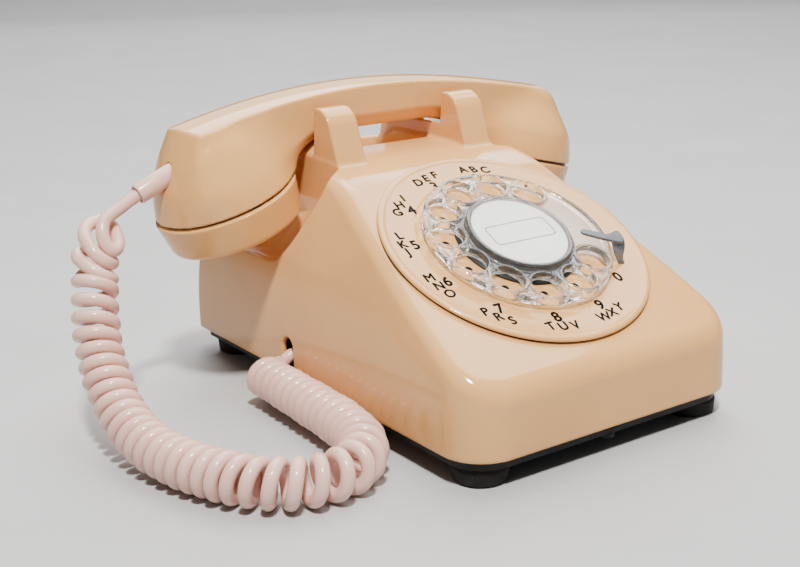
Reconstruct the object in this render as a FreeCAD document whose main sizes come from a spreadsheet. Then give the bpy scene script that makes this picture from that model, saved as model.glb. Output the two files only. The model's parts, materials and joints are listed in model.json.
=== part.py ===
import FreeCAD, Part
import Sketcher
import math
import os

# Rotary desk telephone. Millimetres; +X to the right of the person who dials,
# +Y to the back, +Z up. Origin on the table under the middle of the base.

V = FreeCAD.Vector
doc = FreeCAD.newDocument("telephone")
sheet = doc.addObject("Spreadsheet::Sheet", "dims")

SIZES = [
    # housing, outside
    ("housing_width", 138.0), ("housing_depth", 218.0), ("housing_bottom", 11.0),
    ("housing_wall", 3.0), ("corner_radius", 18.0), ("rear_corner", 5.0),
    ("front_lip_top", 37.5), ("slope_top_y", 1.0), ("slope_top_z", 95.5),
    ("shelf_y", 17.6), ("shelf_z", 98.5), ("prong_front_y", 26.4), ("prong_top", 121.5),
    ("prong_rear_y", 84.0), ("rear_shoulder_y", 97.0), ("rear_shoulder_z", 100.0),
    ("rear_waist_z", 46.0), ("side_waist_z", 38.0), ("side_waist_x", 68.7),
    ("side_b_z", 50.0), ("side_b_x", 66.3), ("side_c_z", 68.0), ("side_c_x", 60.5),
    ("side_d_z", 91.0), ("side_d_x", 53.0), ("side_e_z", 111.0), ("side_e_x", 45.5),
    ("side_top_x", 41.3),
    ("seat_z", 98.0), ("seat_front_top", 36.0), ("seat_front_low", 38.8),
    ("seat_rear_low", 69.2), ("seat_rear_top", 72.0),
    ("prong_inner_x", 25.7), ("ridge_z", 100.0), ("ridge_back_y", 46.0),
    ("carry_floor", 72.0), ("carry_front_y", 50.0), ("carry_back_y", 90.0),
    ("rear_ridge_z", 94.0), ("rear_ridge_y", 94.0),
    ("scoop_radius", 38.0), ("scoop_x", 79.0), ("scoop_floor", 58.0),
    ("cradle_y", 54.0),
    ("boss_radius", 5.0), ("boss_front_y", -102.6), ("boss_rear_y", 102.6),
    ("notch_y", 21.2), ("notch_radius", 4.4), ("notch_z", 22.8),
    # base pan and feet
    ("pan_width", 131.2), ("pan_depth", 211.2), ("pan_corner", 14.6), ("pan_low", 7.0),
    ("pan_thick", 2.0), ("pan_lip_top", 18.0), ("pan_lip_thick", 1.6),
    ("foot_radius", 11.0), ("foot_x", 54.0), ("foot_y", 94.0),
    # dial
    ("dial_y", -48.92), ("dial_z", 70.98), ("dial_tilt", 27.78),
    ("plate_radius", 57.17), ("plate_thick", 1.5), ("dial_opening", 50.0),
    ("wheel_radius", 39.6), ("wheel_low", 2.2), ("wheel_thick", 2.4),
    ("hole_radius", 6.8), ("hole_circle", 31.2), ("hole_first", 46.3), ("hole_step", 30.0),
    ("hub_radius", 22.0), ("hub_top", 6.9), ("card_radius", 20.2),
    ("shaft_radius", 3.0), ("bush_radius", 6.0),
    ("frame_radius", 47.0), ("frame_top", -6.0), ("frame_thick", 1.6),
    ("gear_module", 0.8), ("fine_module", 0.6),
    # cradle plungers and hook lever
    ("plunger_x", 33.0), ("plunger_radius", 3.6), ("plunger_top", 104.2), ("plunger_low", 80.0),
    ("lever_pivot_y", 26.0), ("lever_pivot_z", 77.5), ("pin_radius", 1.5),
    # handset
    ("handle_half", 14.0), ("handle_crown", 128.6), ("handle_under", 108.7),
    ("mic_x", -77.3), ("mic_z", 85.9), ("mic_tilt", 18.5), ("mic_radius", 31.5),
    ("ear_x", 80.0), ("ear_z", 83.4), ("ear_tilt", -14.4), ("ear_radius", 30.4),
    ("cap_height", 16.2), ("cap_wall", 2.5), ("dome_height", 34.5),
    # cord
    ("cord_diameter", 5.5), ("coil_diameter", 19.6),
    ("sleeve_radius", 4.35),
    # ringer
    ("gong_radius", 21.0), ("gong_height", 13.0), ("gong_x", 26.0), ("gong_y", 80.0),
]
for row, (alias, value) in enumerate(SIZES, start=1):
    sheet.set("A%d" % row, alias)
    sheet.set("B%d" % row, str(value))
    sheet.setAlias("B%d" % row, alias)
doc.recompute()
D = {alias: float(sheet.get(alias)) for alias, value in SIZES}

pieces = {}


# A size is a number, an alias, "-alias", or (alias, factor, offset).
def num(c):
    if isinstance(c, (int, float)):
        return float(c)
    if isinstance(c, str):
        return -D[c[1:]] if c.startswith("-") else D[c]
    return D[c[0]] * c[1] + c[2]


def txt(c):
    if isinstance(c, (int, float)):
        return "%.6f" % c
    if isinstance(c, str):
        return "-dims." + c[1:] if c.startswith("-") else "dims." + c
    return "dims.%s * %.6f + %.6f" % c


def bind(obj, prop, c):
    if not isinstance(c, (int, float)):
        obj.setExpression(prop, txt(c))


def place(obj, at, axis=None, angle=0.0):
    rot = FreeCAD.Rotation(V(*axis), angle) if axis else FreeCAD.Rotation()
    obj.Placement = FreeCAD.Placement(V(*[num(c) for c in at]), rot)
    for k, c in zip("xyz", at):
        bind(obj, "Placement.Base." + k, c)
    return obj


def box(name, lx, ly, lz, at):
    o = doc.addObject("Part::Box", name)
    for prop, c in (("Length", lx), ("Width", ly), ("Height", lz)):
        setattr(o, prop, num(c))
        bind(o, prop, c)
    return place(o, at)


def cyl(name, r, h, at=(0, 0, 0), axis=None, angle=0.0):
    o = doc.addObject("Part::Cylinder", name)
    for prop, c in (("Radius", r), ("Height", h)):
        setattr(o, prop, num(c))
        bind(o, prop, c)
    return place(o, at, axis, angle)


def cone(name, r1, r2, h, at=(0, 0, 0), axis=None, angle=0.0):
    o = doc.addObject("Part::Cone", name)
    for prop, c in (("Radius1", r1), ("Radius2", r2), ("Height", h)):
        setattr(o, prop, num(c))
        bind(o, prop, c)
    return place(o, at, axis, angle)


def cut(name, base, *tools):
    tool = tools[0] if len(tools) == 1 else fuse(name + "_tools", *tools)
    o = doc.addObject("Part::Cut", name)
    o.Base, o.Tool = base, tool
    return o


def fuse(name, *objs):
    o = doc.addObject("Part::MultiFuse", name)
    o.Shapes = list(objs)
    return o


def common(name, *objs):
    o = doc.addObject("Part::MultiCommon", name)
    o.Shapes = list(objs)
    return o


def group(name, *objs):
    o = doc.addObject("Part::Compound", name)
    o.Links = list(objs)
    return o


def round_edges(name, base, radius, pick):
    doc.recompute()
    idx = [i for i, e in enumerate(base.Shape.Edges, start=1) if pick(e)]
    o = doc.addObject("Part::Fillet", name)
    o.Base = base
    o.Edges = [(i, radius, radius) for i in idx]
    return o


def upright(e):
    if len(e.Vertexes) != 2:
        return False
    a, b = e.Vertexes[0].Point, e.Vertexes[1].Point
    return abs(a.x - b.x) < 1e-6 and abs(a.y - b.y) < 1e-6


def rbox(name, lx, ly, lz, at, radius):
    return round_edges(name, box(name + "_block", lx, ly, lz, at), num(radius), upright)


def plane_of(body, role):
    return [f for f in body.Origin.OriginFeatures if f.Role == role][0]


# Closed outline with every corner tied to the sheet.
def outline(body, name, role, pts):
    sk = body.newObject("Sketcher::SketchObject", name)
    sk.AttachmentSupport = [(plane_of(body, role), "")]
    sk.MapMode = "FlatFace"
    xy = [(num(a), num(b)) for a, b in pts]
    n = len(xy)
    for i in range(n):
        sk.addGeometry(Part.LineSegment(V(xy[i][0], xy[i][1], 0),
                                        V(xy[(i + 1) % n][0], xy[(i + 1) % n][1], 0)), False)
    for i in range(n):
        sk.addConstraint(Sketcher.Constraint("Coincident", i, 2, (i + 1) % n, 1))
    for i, (a, b) in enumerate(pts):
        for kind, axis_geo, c in (("DistanceX", -2, a), ("DistanceY", -1, b)):
            if abs(num(c)) < 1e-9:
                sk.addConstraint(Sketcher.Constraint("PointOnObject", i, 1, axis_geo))
                continue
            k = sk.addConstraint(Sketcher.Constraint(kind, -1, 1, i, 1, num(c)))
            if not isinstance(c, (int, float)):
                sk.setExpression("Constraints[%d]" % k, txt(c))
    return sk


def pad(name, role, pts, length):
    body = doc.addObject("PartDesign::Body", name)
    sk = outline(body, name + "_outline", role, pts)
    f = body.newObject("PartDesign::Pad", name + "_pad")
    f.Profile = sk
    f.Length = num(length)
    bind(f, "Length", length)
    if "SideType" in f.PropertiesList:
        f.SideType = "Symmetric"
    else:
        f.Midplane = True
    body.Tip = f
    return body


def turned(name, pts):
    body = doc.addObject("PartDesign::Body", name)
    sk = outline(body, name + "_outline", "XZ_Plane", pts)
    f = body.newObject("PartDesign::Revolution", name + "_turn")
    f.Profile = sk
    f.ReferenceAxis = (sk, ["V_Axis"])
    f.Angle = 360.0
    body.Tip = f
    return body


def keep(node, obj, placement=None):
    if placement is not None:
        obj.Placement = placement
    obj.Label = node
    pieces[node] = obj
    return obj


def solid(node, shape, placement=None):
    o = doc.addObject("Part::Feature", node)
    o.Shape = shape
    return keep(node, o, placement)


DIAL = FreeCAD.Placement(V(0, D["dial_y"], D["dial_z"]), FreeCAD.Rotation(V(1, 0, 0), D["dial_tilt"]))
# The mouthpiece and earpiece frames have their +Z up out of the seam, into the bowl.
MIC = FreeCAD.Placement(V(D["mic_x"], D["cradle_y"], D["mic_z"]), FreeCAD.Rotation(V(0, 1, 0), -D["mic_tilt"]))
EAR = FreeCAD.Placement(V(D["ear_x"], D["cradle_y"], D["ear_z"]), FreeCAD.Rotation(V(0, 1, 0), -D["ear_tilt"]))

# ---------------------------------------------------------------- housing
half_w, half_d = ("housing_width", 0.5, 0), ("housing_depth", 0.5, 0)
side = pad("housing_side", "YZ_Plane", [
    (("housing_depth", -0.5, 0), "housing_bottom"), (("housing_depth", -0.5, 0), "front_lip_top"),
    ("slope_top_y", "slope_top_z"), ("shelf_y", "shelf_z"),
    ("prong_front_y", "prong_top"), ("prong_rear_y", "prong_top"),
    ("rear_shoulder_y", "rear_shoulder_z"), (half_d, "rear_waist_z"), (half_d, "housing_bottom")],
    ("housing_width", 1.0, 10.0))
right = [(half_w, "housing_bottom"), ("side_waist_x", "side_waist_z"), ("side_b_x", "side_b_z"),
         ("side_c_x", "side_c_z"), ("side_d_x", "side_d_z"), ("side_e_x", "side_e_z"),
         ("side_top_x", ("prong_top", 1.0, 1.0))]


def mirrored(c):
    if isinstance(c, str):
        return "-" + c
    return (c[0], -c[1], -c[2])


front = pad("housing_front", "XZ_Plane",
            right + [(mirrored(a), b) for a, b in reversed(right)], ("housing_depth", 1.0, 10.0))
# Wide corners in front, small ones at the back.
plan = fuse("housing_plan",
            rbox("front_plan", "housing_width", "housing_depth", 130.0,
                 (("housing_width", -0.5, 0), ("housing_depth", -0.5, 0), 0.0), "corner_radius"),
            rbox("rear_plan", "housing_width", ("housing_depth", 0.5, 0), 130.0,
                 (("housing_width", -0.5, 0), 0.0, 0.0), "rear_corner"))
outer = common("housing_outer", side, front, plan)

w = D["housing_wall"]
side_in = pad("hollow_side", "YZ_Plane", [
    (("housing_depth", -0.5, w), 0.0), (("housing_depth", -0.5, w), ("front_lip_top", 1.0, -1.9)),
    ("slope_top_y", ("slope_top_z", 1.0, -3.4)), (("shelf_y", 1.0, 0), ("seat_z", 1.0, -w)),
    (("rear_shoulder_y", 1.0, -2.4), ("seat_z", 1.0, -w)),
    (("housing_depth", 0.5, -w), ("rear_waist_z", 1.0, -0.6)), (("housing_depth", 0.5, -w), 0.0)],
    ("housing_width", 1.0, 10.0))
right_in = [(("housing_width", 0.5, -w), 0.0), (("side_waist_x", 1.0, -w), "side_waist_z"),
            (("side_b_x", 1.0, -w - 0.1), "side_b_z"), (("side_c_x", 1.0, -w - 0.2), "side_c_z"),
            (("side_d_x", 1.0, -w - 0.2), "side_d_z"), (("side_e_x", 1.0, -w - 0.2), "side_e_z")]
front_in = pad("hollow_front", "XZ_Plane",
               right_in + [(mirrored(a), b) for a, b in reversed(right_in)], ("housing_depth", 1.0, 10.0))
plan_in = fuse("hollow_plan",
               rbox("hollow_front_plan", ("housing_width", 1.0, -2 * w), ("housing_depth", 1.0, -2 * w), 130.0,
                    (("housing_width", -0.5, w), ("housing_depth", -0.5, w), 0.0), ("corner_radius", 1.0, -w)),
               rbox("hollow_rear_plan", ("housing_width", 1.0, -2 * w), ("housing_depth", 0.5, -w), 130.0,
                    (("housing_width", -0.5, w), 0.0, 0.0), ("rear_corner", 1.0, -w)))
carry_wall = box("carry_wall", ("prong_inner_x", 2.0, 2 * w), 60.0, 40.0,
                 (("prong_inner_x", -1.0, -w), ("carry_front_y", 1.0, -5.5), ("carry_floor", 1.0, -w)))
walls = [carry_wall]
for k, sx in (("left", "-scoop_x"), ("right", "scoop_x")):
    walls.append(cyl("scoop_wall_" + k, ("scoop_radius", 1.0, w), 90.0,
                     (sx, "cradle_y", ("scoop_floor", 1.0, -w))))
for k, y in (("front", "boss_front_y"), ("rear", "boss_rear_y")):
    walls.append(cyl("boss_" + k, "boss_radius", 100.0, (0, y, ("pan_low", 1.0, D["pan_thick"]))))
hollow = cut("housing_hollow", common("hollow_core", side_in, front_in, plan_in), *walls)

seat = pad("seat_cut", "YZ_Plane", [
    ("seat_front_low", "seat_z"), ("seat_rear_low", "seat_z"),
    ("seat_rear_top", ("prong_top", 1.0, 3.0)), ("seat_front_top", ("prong_top", 1.0, 3.0))],
    ("housing_width", 1.0, 10.0))
valley = pad("valley_cut", "YZ_Plane", [
    ("shelf_y", "shelf_z"), ("ridge_back_y", "ridge_z"), ("carry_front_y", "carry_floor"),
    ("carry_back_y", "carry_floor"), ("rear_ridge_y", "rear_ridge_z"),
    (("housing_depth", 0.5, 5.0), "rear_ridge_z"), (("housing_depth", 0.5, 5.0), ("prong_top", 1.0, 5.0)),
    ("shelf_y", ("prong_top", 1.0, 5.0))], ("prong_inner_x", 2.0, 0.0))
cuts = [hollow, seat, valley]
for k, sx in (("left", "-scoop_x"), ("right", "scoop_x")):
    cuts.append(cyl("scoop_" + k, "scoop_radius", 90.0, (sx, "cradle_y", "scoop_floor")))
for k, sx in (("left", "-plunger_x"), ("right", "plunger_x")):
    cuts.append(cyl("plunger_hole_" + k, ("plunger_radius", 1.0, 0.3), 30.0, (sx, "cradle_y", 85.0)))
opening = cyl("dial_hole", "dial_opening", 24.0, (0, 0, -16.0))
opening.Placement = DIAL.multiply(FreeCAD.Placement(V(0, 0, -16), FreeCAD.Rotation()))
cuts.append(opening)
# Cord notches in the left wall and in the rear wall.
cuts.append(cyl("cord_notch_round", "notch_radius", 10.0,
                (("housing_width", -0.5, -5.0), "notch_y", "notch_z"), (0, 1, 0), 90))
cuts.append(box("cord_notch_slot", 10.0, ("notch_radius", 2.0, 0), 13.0,
                (("housing_width", -0.5, -5.0), ("notch_y", 1.0, -D["notch_radius"]), ("notch_z", 1.0, -13.0))))
cuts.append(cyl("line_notch_round", 4.0, 12.0, (-40.0, ("housing_depth", 0.5, 5.0), 17.0), (1, 0, 0), 90))
cuts.append(box("line_notch_slot", 8.0, 12.0, 8.0, (-44.0, ("housing_depth", 0.5, -7.0), 9.0)))
for k, y in (("front", "boss_front_y"), ("rear", "boss_rear_y")):
    cuts.append(cyl("boss_bore_" + k, 1.75, 14.0, (0, y, 5.0)))
keep("housing", cut("housing", outer, *cuts))

# ---------------------------------------------------------------- base pan, feet, screws
pan_out = fuse("pan_out",
               rbox("pan_front_plan", "pan_width", "pan_depth", ("pan_lip_top", 1.0, -D["pan_low"]),
                    (("pan_width", -0.5, 0), ("pan_depth", -0.5, 0), "pan_low"), "pan_corner"),
               rbox("pan_rear_plan", "pan_width", ("pan_depth", 0.5, 0), ("pan_lip_top", 1.0, -D["pan_low"]),
                    (("pan_width", -0.5, 0), 0.0, "pan_low"), ("rear_corner", 1.0, -2.0)))
t = D["pan_lip_thick"]
pan_in = fuse("pan_in",
              rbox("pan_front_room", ("pan_width", 1.0, -2 * t), ("pan_depth", 1.0, -2 * t), 30.0,
                   (("pan_width", -0.5, t), ("pan_depth", -0.5, t), ("pan_low", 1.0, D["pan_thick"])),
                   ("pan_corner", 1.0, -t)),
              rbox("pan_rear_room", ("pan_width", 1.0, -2 * t), ("pan_depth", 0.5, -t), 30.0,
                   (("pan_width", -0.5, t), 0.0, ("pan_low", 1.0, D["pan_thick"])),
                   ("rear_corner", 1.0, -2.0 - t)))
pan_cuts = [pan_in]
for k, y in (("front", "boss_front_y"), ("rear", "boss_rear_y")):
    pan_cuts.append(cyl("pan_hole_" + k, 1.9, 8.0, (0, y, 4.0)))
    pan_cuts.append(cyl("pan_boss_room_" + k, ("boss_radius", 1.0, 0.3), 20.0,
                        (0, y, ("pan_low", 1.0, D["pan_thick"]))))
pan_cuts.append(box("pan_cord_gap", 12.0, 11.0, 20.0,
                    (("pan_width", -0.5, -4.0), ("notch_y", 1.0, -5.5), ("pan_low", 1.0, D["pan_thick"]))))
pan_cuts.append(box("pan_line_gap", 10.0, 12.0, 20.0,
                    (-45.0, ("pan_depth", 0.5, -8.0), ("pan_low", 1.0, D["pan_thick"]))))
pan_cuts.append(cyl("pan_volume_hole", 2.05, 8.0, (54.0, 30.0, 4.0)))
keep("base_plate", cut("base_plate", pan_out, *pan_cuts))

feet = []
for i, (sx, sy) in enumerate((("-foot_x", "-foot_y"), ("foot_x", "-foot_y"), ("-foot_x", "foot_y"), ("foot_x", "foot_y"))):
    body = turned("foot_%d" % i, [(0, 0), (("foot_radius", 1.0, -1.4), 0), (("foot_radius", 1.0, -0.4), 0.9),
                                  ("foot_radius", 5.6), (("foot_radius", 1.0, -0.6), "pan_low"), (0, "pan_low")])
    feet.append(place(body, (sx, sy, 0)))
keep("feet", group("feet", *feet))

screws = []
for k, y in (("front", "boss_front_y"), ("rear", "boss_rear_y")):
    head = cyl("screw_head_" + k, 3.4, 1.8, (0, y, ("pan_low", 1.0, -1.8)))
    shank = cyl("screw_shank_" + k, 1.7, 10.0, (0, y, ("pan_low", 1.0, -0.5)))
    slot = box("screw_slot_" + k, 8.0, 0.9, 0.8, (-4.0, (y, 1.0, -0.45), ("pan_low", 1.0, -1.8)))
    screws.append(cut("housing_screw_" + k, fuse("screw_body_" + k, head, shank), slot))
keep("housing_screws", group("housing_screws", *screws))

# ---------------------------------------------------------------- dial, in its own tilted frame
r = "plate_radius"
plate = turned("plate_disc", [
    (18.0, -1.5), ((r, 1.0, -0.3), ("plate_thick", -1.0, 0)), ((r, 1.0, 0), -1.0), ((r, 1.0, -0.1), -0.1),
    ((r, 1.0, -0.8), 0.55), ((r, 1.0, -1.9), 0.7), ((r, 1.0, -2.9), 0.45), ((r, 1.0, -3.8), 0.0), (18.0, 0.0)])
post_bores = [cyl("plate_bore_%d" % i, 1.6, 2.0, (15.0 * 2.9 * math.cos(a), 15.0 * 2.9 * math.sin(a), -2.6))
              for i, a in enumerate(math.radians(q) for q in (61.3, 181.3, 301.3))]
keep("number_plate", cut("number_plate", plate, *post_bores), DIAL)

wheel_disc = turned("wheel_disc", [
    (("shaft_radius", 1.0, 0.4), "wheel_low"), ("wheel_radius", "wheel_low"),
    ("wheel_radius", ("wheel_low", 1.0, 1.9)), (("wheel_radius", 1.0, -0.7), ("wheel_low", 1.0, D["wheel_thick"])),
    ("hub_radius", ("wheel_low", 1.0, D["wheel_thick"])), (("hub_radius", 1.0, -0.6), "hub_top"),
    (("hub_radius", 1.0, -1.6), "hub_top"), (("hub_radius", 1.0, -1.6), ("hub_top", 1.0, -1.2)),
    (("shaft_radius", 1.0, 0.4), ("hub_top", 1.0, -1.2))])
rims, bores = [], []
for i in range(10):
    a = math.radians(D["hole_first"] + D["hole_step"] * i)
    at = (D["hole_circle"] * math.cos(a), D["hole_circle"] * math.sin(a), 0)
    rims.append(cyl("hole_rim_%d" % i, ("hole_radius", 1.0, 1.2), 3.2, (at[0], at[1], "wheel_low")))
    bores.append(cyl("hole_bore_%d" % i, "hole_radius", 12.0, (at[0], at[1], -2.0)))
wheel = cut("finger_wheel", fuse("wheel_rimmed", wheel_disc, *rims), *bores)
keep("finger_wheel", wheel, DIAL)

stop_angle = math.radians(-27.5)
tip_angle = math.radians(-21.8)
stop_pts = [V(45.2 * math.cos(stop_angle), 45.2 * math.sin(stop_angle), 0),
            V(26.5 * math.cos(tip_angle), 26.5 * math.sin(tip_angle), 0)]
arm = (stop_pts[1] - stop_pts[0])
arm_angle = math.degrees(math.atan2(arm.y, arm.x))


def oriented(obj, at, angle, shift):
    obj.Placement = FreeCAD.Placement(at, FreeCAD.Rotation(V(0, 0, 1), angle)).multiply(
        FreeCAD.Placement(shift, FreeCAD.Rotation()))
    return obj


post = oriented(box("stop_post", 3.4, 6.4, 10.1, (0, 0, 0)), stop_pts[0], arm_angle, V(-1.7, -3.2, 0.0))
bar = oriented(box("stop_bar", arm.Length + 1.7, 5.0, 1.8, (0, 0, 0)), stop_pts[0], arm_angle, V(-1.7, -2.5, 8.6))
keep("finger_stop", fuse("finger_stop", post, bar), DIAL)

keep("dial_card", turned("dial_card", [
    (0, ("hub_top", 1.0, -1.2)), ("card_radius", ("hub_top", 1.0, -1.2)), ("card_radius", ("hub_top", 1.0, -0.8)),
    (0, ("hub_top", 1.0, -0.8))]), DIAL)
keep("card_cover", turned("card_cover", [
    (0, ("hub_top", 1.0, -0.7)), (("card_radius", 1.0, 0.1), ("hub_top", 1.0, -0.7)),
    (("card_radius", 1.0, 0.1), ("hub_top", 1.0, 0.0)), ("card_radius", ("hub_top", 1.0, 0.5)), (0, ("hub_top", 1.0, 0.8))]), DIAL)
keep("dial_shaft", turned("dial_shaft", [
    (0, -25.0), ("shaft_radius", -25.0), ("shaft_radius", 2.0), (5.5, 2.0), (5.5, 2.2), ("shaft_radius", 2.2),
    ("shaft_radius", 4.6), (0, 4.6)]), DIAL)
keep("wheel_clamp", turned("wheel_clamp", [
    (0, 4.6), ("shaft_radius", 4.6), ("shaft_radius", 5.3), (0, 5.3)]), DIAL)

plate_back = cyl("frame_disc", "frame_radius", "frame_thick", (0, 0, ("frame_top", 1.0, -1.6)))
frame_hole = cyl("frame_hole", "bush_radius", 10.0, (0, 0, -12.0))
idler_a = math.radians(200.0)
idler = (20.0 * math.cos(idler_a), 20.0 * math.sin(idler_a))
gov_a = math.radians(285.0)
gov = (idler[0] + 15.0 * math.cos(gov_a), idler[1] + 15.0 * math.sin(gov_a))
posts = [cyl("frame_post_%d" % i, 3.2, ("frame_top", -1.0, -1.5),
             (15.0 * 2.9 * math.cos(a), 15.0 * 2.9 * math.sin(a), "frame_top"))
         for i, a in enumerate(math.radians(q) for q in (61.3, 181.3, 301.3))]
post_taps = [cyl("frame_tap_%d" % i, 1.55, 9.0, (15.0 * 2.9 * math.cos(a), 15.0 * 2.9 * math.sin(a), -10.0))
             for i, a in enumerate(math.radians(q) for q in (61.3, 181.3, 301.3))]
arbor_holes = [cyl("frame_idler_hole", 1.55, 6.0, (idler[0], idler[1], -10.0)),
               cyl("frame_gov_hole", 1.05, 6.0, (gov[0], gov[1], -10.0))]
keep("dial_frame", cut("dial_frame", fuse("frame_posted", plate_back, *posts), frame_hole, *(post_taps + arbor_holes)), DIAL)
keep("dial_bush", turned("dial_bush", [
    (("shaft_radius", 1.0, 0.05), -7.6), ("bush_radius", -7.6), ("bush_radius", -6.0), (("bush_radius", 1.0, 2.0), -6.0),
    (("bush_radius", 1.0, 2.0), -3.0), (("shaft_radius", 1.0, 0.05), -3.0)]), DIAL)
keep("dial_screws", group("dial_screws", *[
    fuse("dial_screw_%d" % i,
         cyl("dial_screw_head_%d" % i, 2.9, 1.2, (15.0 * 2.9 * math.cos(a), 15.0 * 2.9 * math.sin(a), -8.82)),
         cyl("dial_screw_shank_%d" % i, 1.5, 7.3, (15.0 * 2.9 * math.cos(a), 15.0 * 2.9 * math.sin(a), -8.0)))
    for i, a in enumerate(math.radians(q) for q in (61.3, 181.3, 301.3))]), DIAL)


# Spur gear with short teeth and wide gaps; the first tooth is centred on +X.
def gear(teeth, module, low, high, turn=0.0, bore=0.0):
    pa = math.radians(25.0)
    rp = teeth * module / 2.0
    rb = rp * math.cos(pa)
    ra, rr = rp + 0.8 * module, rp - 1.1 * module
    half = math.pi / teeth * 0.84 / 2.0
    inv = math.tan(pa) - pa

    def flank(rad):
        if rad <= rb:
            return half + inv
        al = math.acos(rb / rad)
        return half + inv - (math.tan(al) - al)

    radii = [max(rr, 0.1), max(rb, rr) + 0.001, rp, rp + 0.42 * module, ra]
    pts = []
    for i in range(teeth):
        a0 = 2 * math.pi * i / teeth + turn
        for rad in radii:
            pts.append((rad, a0 - flank(rad)))
        for rad in reversed(radii):
            pts.append((rad, a0 + flank(rad)))
    poly = [V(rad * math.cos(a), rad * math.sin(a), low) for rad, a in pts]
    face = Part.Face(Part.makePolygon(poly + [poly[0]]))
    s = face.extrude(V(0, 0, high - low))
    if bore:
        s = s.cut(Part.makeCylinder(bore, high - low + 2, V(0, 0, low - 1)))
    return s


gm, fm = D["gear_module"], D["fine_module"]
main = gear(40, gm, -14.0, -12.0, 0.0, D["shaft_radius"])
solid("main_gear", main, DIAL)
# A gap of the pinion faces the main gear's tooth on the line of centres.
lead = idler_a % (2 * math.pi / 40)
pinion_turn = idler_a + math.pi + math.pi / 10 + lead * 40.0 / 10.0
pin = gear(10, gm, -14.6, -11.4, pinion_turn)
wheel2 = gear(40, fm, -18.0, -16.4, 0.0)
arbor = Part.makeCylinder(1.5, 17.7, V(0, 0, -24.2))
idler_shape = arbor.fuse([pin, Part.makeCylinder(2.6, 2.0, V(0, 0, -16.5)), wheel2]).removeSplitter()
solid("idler_gear", idler_shape, DIAL.multiply(FreeCAD.Placement(V(idler[0], idler[1], 0), FreeCAD.Rotation())))
lead2 = gov_a % (2 * math.pi / 40)
gov_turn = gov_a + math.pi + math.pi / 10 + lead2 * 40.0 / 10.0
gshape = Part.makeCylinder(1.0, 17.7, V(0, 0, -24.2)).fuse(
    [gear(10, fm, -18.6, -15.8, gov_turn), Part.makeBox(9.0, 1.6, 1.4, V(-4.5, -0.8, -12.4))]).removeSplitter()
solid("governor_spindle", gshape, DIAL.multiply(FreeCAD.Placement(V(gov[0], gov[1], 0), FreeCAD.Rotation())))
weights = []
for i, s in enumerate((-1, 1)):
    weights.append(cyl("weight_%d" % i, 1.5, 2.0, (gov[0] + s * 3.8, gov[1], -11.0)))
keep("governor_weights", group("governor_weights", *weights), DIAL)
keep("governor_cup", turned("governor_cup", [
    (1.6, -7.9), (1.6, -8.6), (6.6, -8.6), (6.6, -13.0), (7.4, -13.0), (7.4, -7.9)]),
    DIAL.multiply(FreeCAD.Placement(V(gov[0], gov[1], 0), FreeCAD.Rotation())))
cam_disc = Part.makeCylinder(5.0, 1.2, V(idler[0], idler[1], -20.0)).cut(
    Part.makeCylinder(1.5, 2.0, V(idler[0], idler[1], -20.4))).cut(
    Part.makeBox(2.4, 20.0, 2.0, V(idler[0] + 3.9, idler[1] - 10.0, -20.4)))
solid("pulse_cam", cam_disc, DIAL)
back_plate = cyl("dial_back_disc", 33.0, 1.4, (0, 0, -24.4))
back_cuts = [cyl("back_shaft_hole", ("shaft_radius", 1.0, 0.05), 4.0, (0, 0, -26.0)),
             box("back_trim_a", 80.0, 30.0, 4.0, (-40.0, 14.0, -26.0)),
             cyl("back_idler_hole", 1.55, 4.0, (idler[0], idler[1], -26.0)),
             cyl("back_gov_hole", 1.05, 4.0, (gov[0], gov[1], -26.0))]
pillars = [cyl("back_pillar_%d" % i, 2.2, 16.8, (x, y, -24.4)) for i, (x, y) in enumerate(((24.0, 11.0), (26.0, -8.0), (8.0, -29.0)))]
keep("gear_bridge", fuse("gear_bridge", cut("bridge_plate", back_plate, *back_cuts), *pillars), DIAL)
keep("motor_spring", turned("motor_spring", [(4.2, -11.6), (7.4, -11.6), (7.4, -8.0), (4.2, -8.0)]), DIAL)
leafs = [box("leaf_%d" % i, 0.5, 17.0, 2.6, (idler[0] - 7.4 - 1.6 * i, idler[1] - 3.0, -21.2)) for i in range(3)]
leaf_block = box("leaf_block", 6.0, 5.0, 14.0, (idler[0] - 12.0, idler[1] + 13.1, -21.6))
keep("pulse_contacts", fuse("pulse_contacts", leaf_block, *leafs), DIAL)

# Sheet-metal legs that carry the dial frame on the base pan.
tan_t = math.tan(math.radians(D["dial_tilt"]))


def under_frame(y):
    cy = D["dial_y"] + 7.6 * math.sin(math.radians(D["dial_tilt"]))
    cz = D["dial_z"] - 7.6 * math.cos(math.radians(D["dial_tilt"]))
    return cz + (y - cy) * tan_t - 0.02


legs = []
for k, x in (("left", -38.0), ("right", 38.0)):
    leg = pad("bracket_leg_" + k, "YZ_Plane", [
        (-62.0, ("pan_low", 1.0, D["pan_thick"])), (-62.0, under_frame(-62.0)),
        (-30.0, under_frame(-30.0)), (-30.0, ("pan_low", 1.0, D["pan_thick"]))], 2.0)
    place(leg, (x, 0, 0))
    flange = box("bracket_foot_" + k, 12.0, 32.0, 1.6, (x - 12.0 if x > 0 else x, -62.0, ("pan_low", 1.0, D["pan_thick"])))
    legs.append(fuse("bracket_" + k, leg, flange))
keep("dial_bracket", group("dial_bracket", *legs))

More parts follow.
